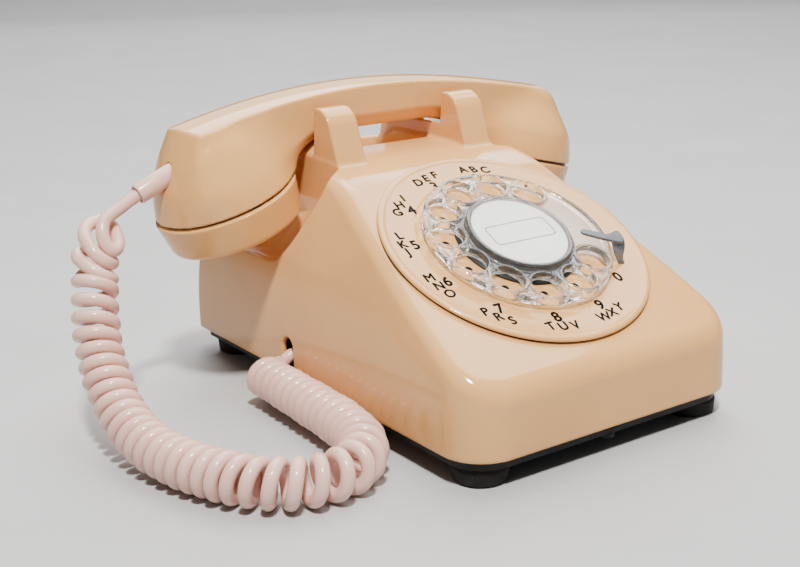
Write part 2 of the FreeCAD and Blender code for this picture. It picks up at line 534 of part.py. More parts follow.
# ---------------------------------------------------------------- hook switch
for k, sx in (("left", "-plunger_x"), ("right", "plunger_x")):
    body = turned("plunger_%s" % k, [
        (0, "plunger_low"), ("plunger_radius", "plunger_low"), ("plunger_radius", ("plunger_top", 1.0, -1.2)),
        (("plunger_radius", 1.0, -1.2), "plunger_top"), (0, "plunger_top")])
    keep("plunger_%s" % k, place(body, (sx, "cradle_y", 0)))
top = D["plunger_low"] - 0.3
arms = [box("lever_arm_%s" % k, 6.0, 30.0, 3.0, (x - 3.0, 29.0, top - 3.0)) for k, x in (("left", -33.0), ("right", 33.0))]
cross = box("lever_cross", 72.0, 5.0, 3.0, (-36.0, 29.0, top - 3.0))
ears = [box("lever_ear_%d" % i, 3.0, 9.0, 6.0, (x, 22.5, top - 5.0)) for i, x in enumerate((-12.0, 9.0))]
ear_hole = cyl("lever_bore", ("pin_radius", 1.0, 0.05), 60.0, (-30.0, "lever_pivot_y", "lever_pivot_z"), (0, 1, 0), 90)
keep("hook_lever", cut("hook_lever", fuse("lever_blank", cross, *(arms + ears)), ear_hole))
keep("hook_pivot_pin", cyl("hook_pivot_pin", "pin_radius", 48.0, (-24.0, "lever_pivot_y", "lever_pivot_z"), (0, 1, 0), 90))
standards = [box("hook_post_%d" % i, 3.0, 7.0, 71.0, (x, 21.0, ("pan_low", 1.0, D["pan_thick"]))) for i, x in enumerate((-22.0, 19.0))]
tie = box("hook_tie", 44.0, 10.0, 2.0, (-22.0, 21.0, ("pan_low", 1.0, D["pan_thick"])))
shelf = box("hook_shelf", 44.0, 10.0, 2.0, (-22.0, 21.0, 60.0))
post_holes = cyl("hook_post_bore", "pin_radius", 60.0, (-30.0, "lever_pivot_y", "lever_pivot_z"), (0, 1, 0), 90)
keep("hook_bracket", cut("hook_bracket", fuse("hook_frame", tie, shelf, *standards), post_holes))
keep("hook_spring", cut("hook_spring", cyl("hook_spring_out", 2.2, 14.2, (0, 30.0, 62.2)),
                        cyl("hook_spring_in", 1.4, 20.0, (0, 30.0, 60.0))))
leaves = [box("hook_leaf_%d" % i, 14.0, 12.0, 0.5, (-7.0, 9.0, 62.2 + 2.0 * i)) for i in range(3)]
stack = box("hook_stack", 14.0, 5.0, 8.4, (-7.0, 15.95, 62.0))
hook_pile = fuse("hook_pile", stack, *leaves)
keep("hook_contacts", hook_pile)

# ---------------------------------------------------------------- handset
handle = pad("handle_bar", "XZ_Plane", [
    (-94.0, 115.6), (-77.0, 120.9), (-49.0, 125.4), (-22.0, ("handle_crown", 1.0, -0.7)), (0, "handle_crown"),
    (22.0, ("handle_crown", 1.0, -0.7)), (49.0, 125.4), (77.0, 120.4), (95.0, 114.0),
    (84.0, 96.0), (52.0, 96.0), (44.0, 99.4), (37.0, 104.6), (28.0, 107.9), (18.0, "handle_under"),
    (-18.0, "handle_under"), (-28.0, 107.9), (-37.0, 104.6), (-44.0, 99.4), (-52.0, 97.0), (-84.0, 98.0)],
    ("handle_half", 2.0, 0.0))
handle_at = FreeCAD.Placement(V(0, D["cradle_y"], 0), FreeCAD.Rotation())
handle.Placement = handle_at


def bowl(name, radius, frame):
    b = turned(name, [(0, 0.0), (radius, 0.0), ((radius, 1.0, -0.1), 5.0), ((radius, 1.0, -1.4), 10.0), ((radius, 1.0, -2.7), 14.0),
                      ((radius, 1.0, -5.9), 19.0), ((radius, 1.0, -10.2), 24.0), ((radius, 1.0, -16.4), 29.5),
                      ((radius, 1.0, -24.0), 33.6), (0, "dome_height")])
    b.Placement = frame
    c = turned(name + "_room", [(0, -1.0), ((radius, 1.0, -3.0), -1.0), ((radius, 1.0, -3.0), 7.0),
                                ((radius, 1.0, -5.0), 14.0), ((radius, 1.0, -12.0), 21.0), (0, 22.0)])
    c.Placement = frame
    return b, c


mic_bowl, mic_room = bowl("mic_bowl", "mic_radius", MIC)
ear_bowl, ear_room = bowl("ear_bowl", "ear_radius", EAR)
# Below the seam plane of each bowl the handle bar is trimmed away.
trims = []
for k, fr in (("mic", MIC), ("ear", EAR)):
    b = cyl(k + "_trim", 60.0, 40.0, (0, 0, -40.0))
    b.Placement = fr.multiply(FreeCAD.Placement(V(0, 0, -40), FreeCAD.Rotation()))
    trims.append(b)
sleeve_dir = V(-11.3, -0.2, -4.8)
sleeve_dir.normalize()
sleeve_root = V(-101.5, 54.05, 98.3)
sleeve_rot = FreeCAD.Rotation(V(0, 0, 1), sleeve_dir)
sleeve_hole = cyl("sleeve_hole", ("sleeve_radius", 1.0, 0.1), 31.0)
sleeve_hole.Placement = FreeCAD.Placement(sleeve_root - sleeve_dir * 12.0, sleeve_rot)
lead_pts = [V(-66.0, 54.0, 106.0), V(-34.0, 54.0, 116.6), V(34.0, 54.0, 116.6), V(68.0, 54.0, 104.0)]
channel = []
for i, (a, b) in enumerate(zip(lead_pts[:-1], lead_pts[1:])):
    c = cyl("lead_channel_%d" % i, 3.6, (b - a).Length + 3.0)
    d = b - a
    d.normalize()
    c.Placement = FreeCAD.Placement(a - d * 1.5, FreeCAD.Rotation(V(0, 0, 1), d))
    channel.append(c)
handset_blank = cut("handset_blank", fuse("handset_mass", handle, mic_bowl, ear_bowl), *trims)
keep("handset_shell", cut("handset_shell", handset_blank, mic_room, ear_room, sleeve_hole, *channel))


def cap(node, radius, frame, rings):
    low = ("cap_height", -1.0, -0.4)
    shell = turned(node + "_shell", [
        (0, low), ((radius, 1.0, -4.6), low), ((radius, 1.0, -2.9), ("cap_height", -1.0, 0.6)), ((radius, 1.0, -1.9), ("cap_height", -1.0, 3.0)),
        (radius, -0.4), ((radius, 1.0, -3.3), -0.4), ((radius, 1.0, -3.3), 3.6), ((radius, 1.0, -4.8), 3.6),
        ((radius, 1.0, -4.8), ("cap_height", -1.0, 2.1)), (0, ("cap_height", -1.0, 2.1))])
    holes = []
    for i, (n, rad, hr) in enumerate(rings):
        for j in range(n):
            a = 2 * math.pi * j / n + 0.26 * i
            holes.append(cyl("%s_hole_%d_%d" % (node, i, j), hr, 6.0,
                             (rad * math.cos(a), rad * math.sin(a), ("cap_height", -1.0, -2.0))))
    return keep(node, cut(node, shell, *holes), frame)


cap("transmitter_cap", "mic_radius", MIC, [(1, 0.0, 1.5), (6, 6.0, 1.5), (12, 12.0, 1.5), (16, 18.0, 1.5)])
cap("receiver_cap", "ear_radius", EAR, [(1, 0.0, 1.7), (6, 6.5, 1.7)])
keep("transmitter_unit", turned("transmitter_unit", [
    (0, -13.2), (24.6, -13.2), (24.6, -8.0), (22.0, -4.0), (14.0, -2.0), (0, -2.0)]), MIC)
keep("transmitter_cup", turned("transmitter_cup", [
    (8.0, -1.8), (13.0, -1.8), (25.5, 1.0), (25.5, 5.0), (24.0, 5.0), (8.0, 0.4)]), MIC)
keep("receiver_unit", turned("receiver_unit", [
    (0, -13.2), (23.4, -13.2), (23.4, -6.0), (19.0, -2.0), (19.0, 8.0), (0, 8.0)]), EAR)


# A tube whose runs meet in tangent arcs; returns the solid, its length and the arcs' radii.
def tube(points, radius):
    pts = [V(*p) for p in points]
    legs_ = [(b - a).Length for a, b in zip(pts[:-1], pts[1:])]
    edges, start, length, radii = [], pts[0], 0.0, []
    for i in range(1, len(pts) - 1):
        a, b = (pts[i] - pts[i - 1]), (pts[i + 1] - pts[i])
        a.normalize()
        b.normalize()
        turn = a.getAngle(b)
        trim = 0.45 * min(legs_[i - 1], legs_[i])
        rad = trim / math.tan(turn / 2.0)
        p0, p1 = pts[i] - a * trim, pts[i] + b * trim
        bis = b - a
        bis.normalize()
        mid = pts[i] + bis * (rad / math.cos(turn / 2.0) - rad)
        edges.append(Part.LineSegment(start, p0).toShape())
        edges.append(Part.Arc(p0, mid, p1).toShape())
        length += (p0 - start).Length + rad * turn
        radii.append(rad)
        start = p1
    edges.append(Part.LineSegment(start, pts[-1]).toShape())
    length += (pts[-1] - start).Length
    path = Part.Wire(edges)
    d = pts[1] - pts[0]
    ring = Part.Wire([Part.Circle(pts[0], d, radius).toShape()])
    s = path.makePipeShell([ring], True, True)
    want = math.pi * radius * radius * length
    print("tube length %.1f radii %s volume ratio %.4f" % (length, [round(q, 1) for q in radii], s.Volume / want))
    return s, length


leads, _ = tube([(-62.0, 54.0, 107.2), (-34.0, 54.0, 116.4), (-11.0, 54.0, 117.0), (12.0, 54.0, 117.0 - 0.4), (34.0, 54.0, 116.0), (64.0, 54.0, 105.4)], 1.6)
solid("receiver_leads", leads)

sleeve = turned("cord_sleeve", [
    (("cord_diameter", 0.5, 0.05), -2.0), ("sleeve_radius", -2.0), ("sleeve_radius", 16.2),
    (("sleeve_radius", 1.0, -0.7), 16.8), (("cord_diameter", 0.5, 0.05), 16.8)])
keep("cord_sleeve", sleeve, FreeCAD.Placement(sleeve_root, sleeve_rot))

# ---------------------------------------------------------------- cord
cord_r, coil_r = D["cord_diameter"] / 2.0, D["coil_diameter"] / 2.0
COIL = [(-80.0, 17.0, 12.6), (-79.9, 1.0, 12.3), (-80.0, -22.0, 11.7), (-80.6, -45.0, 11.0), (-85.0, -64.0, 10.4),
        (-97.2, -77.2, 10.1), (-114.6, -79.2, 10.0), (-129.6, -70.0, 10.0), (-139.6, -52.5, 10.0), (-146.2, -32.0, 10.0),
        (-149.4, -11.0, 11.4), (-150.0, 9.0, 17.0), (-148.5, 27.0, 31.0), (-145.0, 39.0, 47.0),
        (-141.0, 46.0, 62.0), (-135.5, 50.0, 76.0)]
coil, coil_length = tube(COIL, coil_r)
solid("cord_coil", coil)
end = sleeve_root + sleeve_dir * 17.0
bend = end + sleeve_dir * 8.5
LEAD = [(-134.6, 50.5, 78.6), (-131.2, 52.2, 83.8), (bend.x, bend.y, bend.z), (end.x, end.y, end.z)]
lead_a, lead_a_length = tube(LEAD, cord_r)
solid("cord_lead_handset", lead_a)
WALL = [(-60.0, 20.2, 20.6), (-64.5, 20.2, 20.4), (-69.0, 20.4, 19.2), (-72.4, 21.2, 16.0), (-74.0, 22.0, 11.8)]
lead_b, lead_b_length = tube(WALL, cord_r)
solid("cord_lead_base", lead_b)
print("coil run %.1f, handset lead %.1f, wall lead %.1f" % (coil_length, lead_a_length, lead_b_length))
anchor_block = box("anchor_block", 8.0, 12.0, 15.0, (-59.4, 14.2, ("pan_low", 1.0, D["pan_thick"])))
keep("cord_anchor", anchor_block)

# ---------------------------------------------------------------- ringer
floor_z = D["pan_low"] + D["pan_thick"]
ring_base = box("ringer_base", 84.0, 46.0, 2.0, (-42.0, 46.0, floor_z))
gong_posts = [cyl("gong_post_%d" % i, 3.0, 22.0, (sx, "gong_y", floor_z + 1.0)) for i, sx in enumerate(("-gong_x", "gong_x"))]
pivot_post = cyl("clapper_post", 2.0, 28.0, (0, 58.0, floor_z + 1.0))
pivot_collar = cyl("clapper_collar", 3.2, 17.0, (0, 58.0, floor_z + 1.7))
yoke = [box("ringer_yoke_%d" % i, 2.0, 10.0, 16.0, (x, 46.0, floor_z + 1.0)) for i, x in enumerate((-37.0, 35.0))]
keep("ringer_frame", fuse("ringer_frame", ring_base, pivot_post, pivot_collar, *(gong_posts + yoke)))
for node, sx, rr in (("gong_left", "-gong_x", "gong_radius"), ("gong_right", "gong_x", ("gong_radius", 1.0, -0.6))):
    z0 = floor_z + 23.0
    rv = num(rr)
    dome = turned(node, [
        (1.9, z0 + 0.0), (6.0, z0), (7.0, z0 - 1.0), (rv - 4.5, z0 - 3.2), (rv - 1.8, z0 - 7.0), (rv - 0.6, z0 - 12.4),
        (rv, z0 - 12.4), (rv - 0.6, z0 - 6.4), (rv - 3.6, z0 - 2.0), (7.6, z0 + 0.8), (6.4, z0 + 1.4), (1.9, z0 + 1.4)])
    keep(node, place(dome, (sx, "gong_y", 0)))
keep("gong_screws", group("gong_screws", *[
    cyl("gong_screw_%d" % i, 3.4, 1.6, (sx, "gong_y", floor_z + 24.4)) for i, sx in enumerate(("-gong_x", "gong_x"))]))
coil_z = floor_z + 10.3
coil_a = [cyl("ringer_winding_%d" % i, 6.6, 26.0, (x, 50.0, coil_z), (0, 1, 0), 90) for i, x in enumerate((-32.0, 6.0))]
cheeks = [cyl("ringer_cheek_%d" % i, 7.4, 1.5, (x, 50.0, coil_z), (0, 1, 0), 90) for i, x in enumerate((-33.5, -6.0, 4.5, 32.0))]
cores = [cyl("ringer_core_%d" % i, 3.0, 31.0, (x, 50.0, coil_z), (0, 1, 0), 90) for i, x in enumerate((-35.0, 4.0))]
keep("ringer_coil", group("ringer_coil", *[fuse("ringer_bobbin_%d" % i, coil_a[i], cheeks[2 * i], cheeks[2 * i + 1], cores[i]) for i in range(2)]))
# Clapper arm on a short sleeve round the pivot post, hammer between the gongs.
hub = cut("clapper_hub", cyl("clapper_hub_out", 3.6, 5.0, (0, 58.0, floor_z + 19.0)),
          cyl("clapper_hub_bore", 2.05, 9.0, (0, 58.0, floor_z + 17.0)))
rod = cyl("clapper_rod", 0.9, 17.8, (0, 61.0, floor_z + 21.5), (1, 0, 0), -90)
hammer = cyl("clapper_hammer", 3.4, 6.0, (0, 79.5, floor_z + 10.6))
drop = cyl("clapper_drop", 1.3, 11.4, (0, 78.3, floor_z + 11.4))
arm_plate = box("clapper_armature", 30.0, 2.0, 5.0, (-15.0, 53.2, floor_z + 19.0))
keep("clapper", fuse("clapper", hub, rod, hammer, drop, arm_plate))
keep("loudness_wheel", fuse("loudness_wheel",
                            cut("loudness_disc", cyl("loudness_rim", 12.0, 3.0, (54.0, 30.0, 3.6)),
                                *[cyl("loudness_flute_%d" % i, 0.9, 6.0,
                                      (54.0 + 12.2 * math.cos(2 * math.pi * i / 24), 30.0 + 12.2 * math.sin(2 * math.pi * i / 24), 2.0))
                                  for i in range(24)]),
                            cyl("loudness_stem", 2.0, 8.0, (54.0, 30.0, 5.0)),
                            cyl("loudness_collar", 3.4, 2.0, (54.0, 30.0, floor_z + 0.3))))

# ---------------------------------------------------------------- network block
net = rbox("network_case", 46.0, 56.0, 26.0, (-24.0, -44.0, floor_z), 3.0)
keep("network_block", net)
keep("terminal_screws", group("terminal_screws", *[
    cyl("terminal_%d" % i, 2.2, 1.8, (-18.0 + 8.5 * (i % 5), -37.0 + 42.0 * (i // 5), floor_z + 26.0)) for i in range(10)]))

# ---------------------------------------------------------------- checks and files
doc.recompute()
bad = [o.Name for o in doc.Objects if "Invalid" in o.State or "Error" in o.State]
for node, obj in sorted(pieces.items()):
    s = obj.Shape
    if s.isNull() or not s.isValid() or s.Volume <= 0:
        bad.append(node)
    else:
        b = s.BoundBox
        print("%-20s solids %2d vol %9.1f  x %.1f %.1f  y %.1f %.1f  z %.1f %.1f" % (
            node, len(s.Solids), s.Volume, b.XMin, b.XMax, b.YMin, b.YMax, b.ZMin, b.ZMax))
if bad:
    raise RuntimeError("failed: " + ", ".join(bad))
os.makedirs("parts", exist_ok=True)
for node, obj in sorted(pieces.items()):
    obj.Shape.exportStep("parts/%s.step" % node)
print(len(pieces), "pieces written")
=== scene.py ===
import json
import math

import bpy
import numpy as np
from mathutils import Matrix, Vector


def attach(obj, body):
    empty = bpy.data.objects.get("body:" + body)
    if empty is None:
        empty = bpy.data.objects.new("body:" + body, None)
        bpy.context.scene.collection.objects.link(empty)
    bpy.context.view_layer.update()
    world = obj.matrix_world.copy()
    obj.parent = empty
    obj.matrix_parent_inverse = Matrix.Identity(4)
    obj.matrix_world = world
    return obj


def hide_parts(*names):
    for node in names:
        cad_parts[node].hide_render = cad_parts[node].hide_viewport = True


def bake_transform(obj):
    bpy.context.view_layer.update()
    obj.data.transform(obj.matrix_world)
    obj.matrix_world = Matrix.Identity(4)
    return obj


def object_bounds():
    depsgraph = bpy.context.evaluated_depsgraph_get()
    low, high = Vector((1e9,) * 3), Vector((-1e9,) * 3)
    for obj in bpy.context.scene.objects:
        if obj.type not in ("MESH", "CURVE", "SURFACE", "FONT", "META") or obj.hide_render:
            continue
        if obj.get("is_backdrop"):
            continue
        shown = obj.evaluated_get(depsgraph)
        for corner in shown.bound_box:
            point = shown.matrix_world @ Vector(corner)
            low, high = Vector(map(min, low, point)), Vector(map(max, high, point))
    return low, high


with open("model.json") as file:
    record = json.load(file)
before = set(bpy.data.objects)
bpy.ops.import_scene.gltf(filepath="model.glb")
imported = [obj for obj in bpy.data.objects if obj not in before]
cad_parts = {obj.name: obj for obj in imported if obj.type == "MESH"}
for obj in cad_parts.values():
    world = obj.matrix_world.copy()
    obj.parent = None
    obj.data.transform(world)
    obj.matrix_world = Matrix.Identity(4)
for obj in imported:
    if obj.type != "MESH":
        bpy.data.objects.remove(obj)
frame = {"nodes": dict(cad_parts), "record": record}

cad_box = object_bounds()
cad_box = [list(map(float, cad_box[0])), list(map(float, cad_box[1]))]
MM = 0.001
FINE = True
scene = bpy.context.scene
nodes = frame["nodes"]


def link(obj):
    scene.collection.objects.link(obj)
    return obj


# ------------------------------------------------------------------ camera
LENS = 57.8033
EYE = (-0.3192316, -0.4389450, 0.2011369)
YAW, PITCH, ROLL = 0.5926024, 0.2822040, -0.0323953
fwd = Vector((math.sin(YAW) * math.cos(PITCH), math.cos(YAW) * math.cos(PITCH), -math.sin(PITCH)))
flat_right = Vector((math.cos(YAW), -math.sin(YAW), 0.0))
flat_up = flat_right.cross(fwd)
right = math.cos(ROLL) * flat_right + math.sin(ROLL) * flat_up
up = -math.sin(ROLL) * flat_right + math.cos(ROLL) * flat_up
cam_data = bpy.data.cameras.new("camera")
cam_data.sensor_fit = "HORIZONTAL"
cam_data.sensor_width = 36.0
cam_data.lens = LENS
cam_data.clip_start, cam_data.clip_end = 0.01, 20.0
camera = link(bpy.data.objects.new("camera", cam_data))
camera.matrix_world = Matrix((
    (right.x, up.x, -fwd.x, EYE[0]),
    (right.y, up.y, -fwd.y, EYE[1]),
    (right.z, up.z, -fwd.z, EYE[2]),
    (0.0, 0.0, 0.0, 1.0)))
scene.camera = camera


# ------------------------------------------------------------------ materials
def finish(name, dark, light, scale, rough, grain, bump, metallic=0.0, coat=0.0, transmission=0.0,
           ior=1.47, specular=0.5, streak=(1.0, 1.0, 1.0), subsurface=0.0, dust=None, alpha=1.0):
    """A procedural finish: cloudy colour between dark and light, uneven gloss and a fine surface grain."""
    mat = bpy.data.materials.new(name)
    mat.use_nodes = True
    tree = mat.node_tree
    tree.nodes.clear()
    add, join = tree.nodes.new, tree.links.new
    out = add("ShaderNodeOutputMaterial")
    shader = add("ShaderNodeBsdfPrincipled")
    join(shader.outputs["BSDF"], out.inputs["Surface"])
    place = add("ShaderNodeTexCoord")
    spread = add("ShaderNodeMapping")
    spread.inputs["Scale"].default_value = streak
    join(place.outputs["Object"], spread.inputs["Vector"])

    cloud = add("ShaderNodeTexNoise")
    cloud.inputs["Scale"].default_value = scale
    cloud.inputs["Detail"].default_value = 6.0
    cloud.inputs["Roughness"].default_value = 0.55
    join(spread.outputs["Vector"], cloud.inputs["Vector"])
    ramp = add("ShaderNodeValToRGB")
    ramp.color_ramp.elements[0].position = 0.3
    ramp.color_ramp.elements[0].color = (*dark, 1.0)
    ramp.color_ramp.elements[1].position = 0.7
    ramp.color_ramp.elements[1].color = (*light, 1.0)
    join(cloud.outputs["Fac"], ramp.inputs["Fac"])
    colour = ramp.outputs["Color"]
    if dust is not None:
        speck = add("ShaderNodeTexNoise")
        speck.inputs["Scale"].default_value = 900.0
        speck.inputs["Detail"].default_value = 3.0
        join(place.outputs["Object"], speck.inputs["Vector"])
        limit = add("ShaderNodeMapRange")
        limit.inputs["From Min"].default_value = 0.66
        limit.inputs["From Max"].default_value = 0.78
        limit.inputs["To Max"].default_value = dust[1]
        join(speck.outputs["Fac"], limit.inputs["Value"])
        blend = add("ShaderNodeMix")
        blend.data_type = "RGBA"
        blend.inputs[7].default_value = (*dust[0], 1.0)
        join(limit.outputs["Result"], blend.inputs[0])
        join(colour, blend.inputs[6])
        colour = blend.outputs[2]
    join(colour, shader.inputs["Base Color"])

    wear = add("ShaderNodeTexNoise")
    wear.inputs["Scale"].default_value = scale * 2.3
    wear.inputs["Detail"].default_value = 8.0
    wear.inputs["Roughness"].default_value = 0.65
    join(spread.outputs["Vector"], wear.inputs["Vector"])
    gloss = add("ShaderNodeMapRange")
    gloss.inputs["From Min"].default_value = 0.3
    gloss.inputs["From Max"].default_value = 0.7
    gloss.inputs["To Min"].default_value = rough[0]
    gloss.inputs["To Max"].default_value = rough[1]
    join(wear.outputs["Fac"], gloss.inputs["Value"])
    join(gloss.outputs["Result"], shader.inputs["Roughness"])

    fine = add("ShaderNodeTexNoise")
    fine.inputs["Scale"].default_value = grain
    fine.inputs["Detail"].default_value = 4.0
    join(spread.outputs["Vector"], fine.inputs["Vector"])
    relief = add("ShaderNodeBump")
    relief.inputs["Strength"].default_value = bump[0]
    relief.inputs["Distance"].default_value = bump[1]
    join(fine.outputs["Fac"], relief.inputs["Height"])
    join(relief.outputs["Normal"], shader.inputs["Normal"])

    shader.inputs["Metallic"].default_value = metallic
    shader.inputs["IOR"].default_value = ior
    shader.inputs["Specular IOR Level"].default_value = specular
    shader.inputs["Coat Weight"].default_value = coat
    shader.inputs["Coat Roughness"].default_value = 0.08
    shader.inputs["Transmission Weight"].default_value = transmission
    shader.inputs["Alpha"].default_value = alpha
    shader.inputs["Subsurface Weight"].default_value = subsurface
    shader.inputs["Subsurface Radius"].default_value = (0.004, 0.002, 0.001)
    return mat


SLOTS = {
    "beige_plastic": finish("beige_plastic", (0.722, 0.374, 0.130), (0.772, 0.414, 0.154), 22.0, (0.06, 0.12), 900.0,
                            (0.03, 0.0002), dust=((0.84, 0.62, 0.42), 0.22)),
    "handset_plastic": finish("handset_plastic", (0.722, 0.374, 0.122), (0.772, 0.414, 0.145), 24.0, (0.06, 0.12), 900.0,
                              (0.03, 0.0002), dust=((0.84, 0.62, 0.40), 0.22)),
    "black_paint": finish("black_paint", (0.006, 0.006, 0.006), (0.013, 0.012, 0.012), 60.0, (0.4, 0.6), 1400.0,
                          (0.22, 0.0002), specular=0.25, dust=((0.09, 0.08, 0.07), 0.5)),
    "black_rubber": finish("black_rubber", (0.007, 0.007, 0.007), (0.015, 0.014, 0.014), 90.0, (0.6, 0.8), 1500.0,
                           (0.35, 0.0003), specular=0.25, dust=((0.1, 0.09, 0.08), 0.6)),
    "steel": finish("steel", (0.30, 0.31, 0.33), (0.44, 0.45, 0.47), 70.0, (0.24, 0.40), 700.0, (0.12, 0.0001),
                    metallic=1.0, streak=(1.0, 6.0, 1.0)),
    "brass": finish("brass", (0.55, 0.38, 0.14), (0.76, 0.56, 0.26), 60.0, (0.24, 0.42), 900.0, (0.1, 0.0001), metallic=1.0),
    "aluminium": finish("aluminium", (0.62, 0.62, 0.63), (0.78, 0.78, 0.78), 60.0, (0.28, 0.45), 900.0, (0.1, 0.0001),
                        metallic=1.0),
    # Transmission short of full gives a faint white milkiness: partly the haze of the plastic, partly painted
    # reflection that lightens dark refraction lines in the wheel.
    "clear_plastic": finish("clear_plastic", (0.93, 0.93, 0.92), (0.985, 0.985, 0.98), 40.0, (0.01, 0.05), 700.0,
                            (0.03, 0.0002), transmission=0.94, ior=1.46),
    "white_card": finish("white_card", (0.90, 0.90, 0.88), (0.95, 0.95, 0.935), 90.0, (0.5, 0.7), 2500.0, (0.1, 0.0001)),
    "plunger_plastic": finish("plunger_plastic", (0.035, 0.03, 0.028), (0.07, 0.06, 0.055), 90.0, (0.25, 0.4), 1200.0,
                              (0.06, 0.0001)),
    "dark_plastic": finish("dark_plastic", (0.02, 0.017, 0.016), (0.055, 0.047, 0.043), 60.0, (0.4, 0.6), 1200.0,
                           (0.15, 0.0002), dust=((0.2, 0.18, 0.16), 0.3)),
    "cord_vinyl": finish("cord_vinyl", (0.74, 0.455, 0.375), (0.81, 0.525, 0.44), 70.0, (0.14, 0.26), 1100.0,
                         (0.07, 0.0002), dust=((0.5, 0.36, 0.3), 0.3)),
}
ink = finish("dial_ink", (0.004, 0.004, 0.004), (0.009, 0.009, 0.009), 300.0, (0.5, 0.7), 3000.0, (0.15, 0.0001), specular=0.04)
stop_steel = finish("stop_steel", (0.15, 0.16, 0.17), (0.25, 0.26, 0.28), 90.0, (0.26, 0.42), 700.0, (0.12, 0.0001), metallic=1.0,
                    streak=(1.0, 5.0, 1.0))
rule_ink = finish("card_ink", (0.02, 0.02, 0.025), (0.05, 0.05, 0.06), 400.0, (0.45, 0.6), 3000.0, (0.1, 0.0001))
glaze = finish("card_glaze", (0.95, 0.95, 0.94), (0.99, 0.99, 0.985), 40.0, (0.02, 0.06), 700.0, (0.02, 0.0001), alpha=0.10)
floor_finish = finish("floor_finish", (0.44, 0.44, 0.44), (0.48, 0.48, 0.48), 9.0, (0.5, 0.65), 500.0, (0.1, 0.0003))


def paint(obj, mat):
    obj.data.materials.clear()
    obj.data.materials.append(mat)
    return obj


for part in frame["record"]["subparts"]:
    paint(nodes[part["node"]], SLOTS[part["material_slot"]])


# ------------------------------------------------------------------ mesh makers
def mesh_object(name, verts, faces, normals=None, smooth=True):
    """verts in millimetres, an (n, 3) array; faces an (m, 4) array or a list of index tuples."""
    verts = np.asarray(verts, float) * MM
    mesh = bpy.data.meshes.new(name)
    if isinstance(faces, np.ndarray):
        count, width = faces.shape
        mesh.vertices.add(len(verts))
        mesh.vertices.foreach_set("co", verts.astype(np.float32).ravel())
        mesh.loops.add(count * width)
        mesh.loops.foreach_set("vertex_index", faces.astype(np.int32).ravel())
        mesh.polygons.add(count)
        mesh.polygons.foreach_set("loop_start", np.arange(0, count * width, width, dtype=np.int32))
        mesh.update(calc_edges=True)
    else:
        mesh.from_pydata([tuple(p) for p in verts], [], [tuple(f) for f in faces])
        mesh.update()
    mesh.polygons.foreach_set("use_smooth", [smooth] * len(mesh.polygons))
    if normals is not None:
        mesh.normals_split_custom_set_from_vertices([tuple(n) for n in normals])
    return link(bpy.data.objects.new(name, mesh))


def nets(field, low, high, step):
    """Quads on the zero surface of a distance field, by surface nets, then pulled onto the surface."""
    low = np.array(low, float)
    count = np.ceil((np.array(high, float) - low) / step).astype(int) + 1
    axes = [low[i] + step * np.arange(count[i]) for i in range(3)]
    grid = np.empty(count, np.float32)
    for i in range(0, count[0], 24):
        gx, gy, gz = np.meshgrid(axes[0][i:i + 24], axes[1], axes[2], indexing="ij")
        grid[i:i + 24] = field(gx, gy, gz)
    cells = count - 1
    stride = np.array([cells[1] * cells[2], cells[2], 1])
    ids, spots, edges = [], [], []
    for axis in range(3):
        a, b = [slice(None)] * 3, [slice(None)] * 3
        a[axis], b[axis] = slice(0, -1), slice(1, None)
        fa, fb = grid[tuple(a)], grid[tuple(b)]
        i, j, k = np.nonzero((fa < 0) != (fb < 0))
        va, vb = fa[i, j, k].astype(float), fb[i, j, k].astype(float)
        base = np.stack([i, j, k], 1)
        at = base.astype(float)
        at[:, axis] += va / (va - vb)
        p, q = (axis + 1) % 3, (axis + 2) % 3
        ring = []
        for dp, dq in ((-1, -1), (0, -1), (0, 0), (-1, 0)):
            cell = base.copy()
            cell[:, p] += dp
            cell[:, q] += dq
            ring.append(cell)
        ok = np.ones(len(base), bool)
        for cell in ring:
            ok &= ((cell >= 0) & (cell < cells)).all(1)
        flat = np.stack([cell[ok] @ stride for cell in ring], 1)
        ids.append(flat.ravel())
        spots.append(np.repeat(at[ok], 4, axis=0))
        edges.append((flat, va[ok] < 0))
    every = np.concatenate(ids)
    points = np.concatenate(spots)
    keys, back = np.unique(every, return_inverse=True)
    weight = np.bincount(back)
    verts = np.stack([np.bincount(back, points[:, c]) / weight for c in range(3)], 1)
    verts = low + step * verts
    quads = []
    for flat, outward in edges:
        quad = np.searchsorted(keys, flat)
        quad[~outward] = quad[~outward][:, ::-1]
        quads.append(quad)
    quads = np.concatenate(quads)

    def slope(p, e):
        g = np.empty_like(p)
        for c in range(3):
            d = np.zeros(3)
            d[c] = e
            hi, lo = p + d, p - d
            g[:, c] = (field(hi[:, 0], hi[:, 1], hi[:, 2]) - field(lo[:, 0], lo[:, 1], lo[:, 2])) / (2 * e)
        return g

    for _ in range(4):
        value = field(verts[:, 0], verts[:, 1], verts[:, 2])
        g = slope(verts, 0.06)
        move = -(value / np.maximum((g * g).sum(1), 0.05))[:, None] * g
        size = np.linalg.norm(move, axis=1)
        move *= np.minimum(1.0, 0.5 * step / np.maximum(size, 1e-9))[:, None]
        verts = verts + move
    g = slope(verts, 0.08)
    normals = g / np.maximum(np.linalg.norm(g, axis=1), 1e-9)[:, None]
    return verts, quads, normals


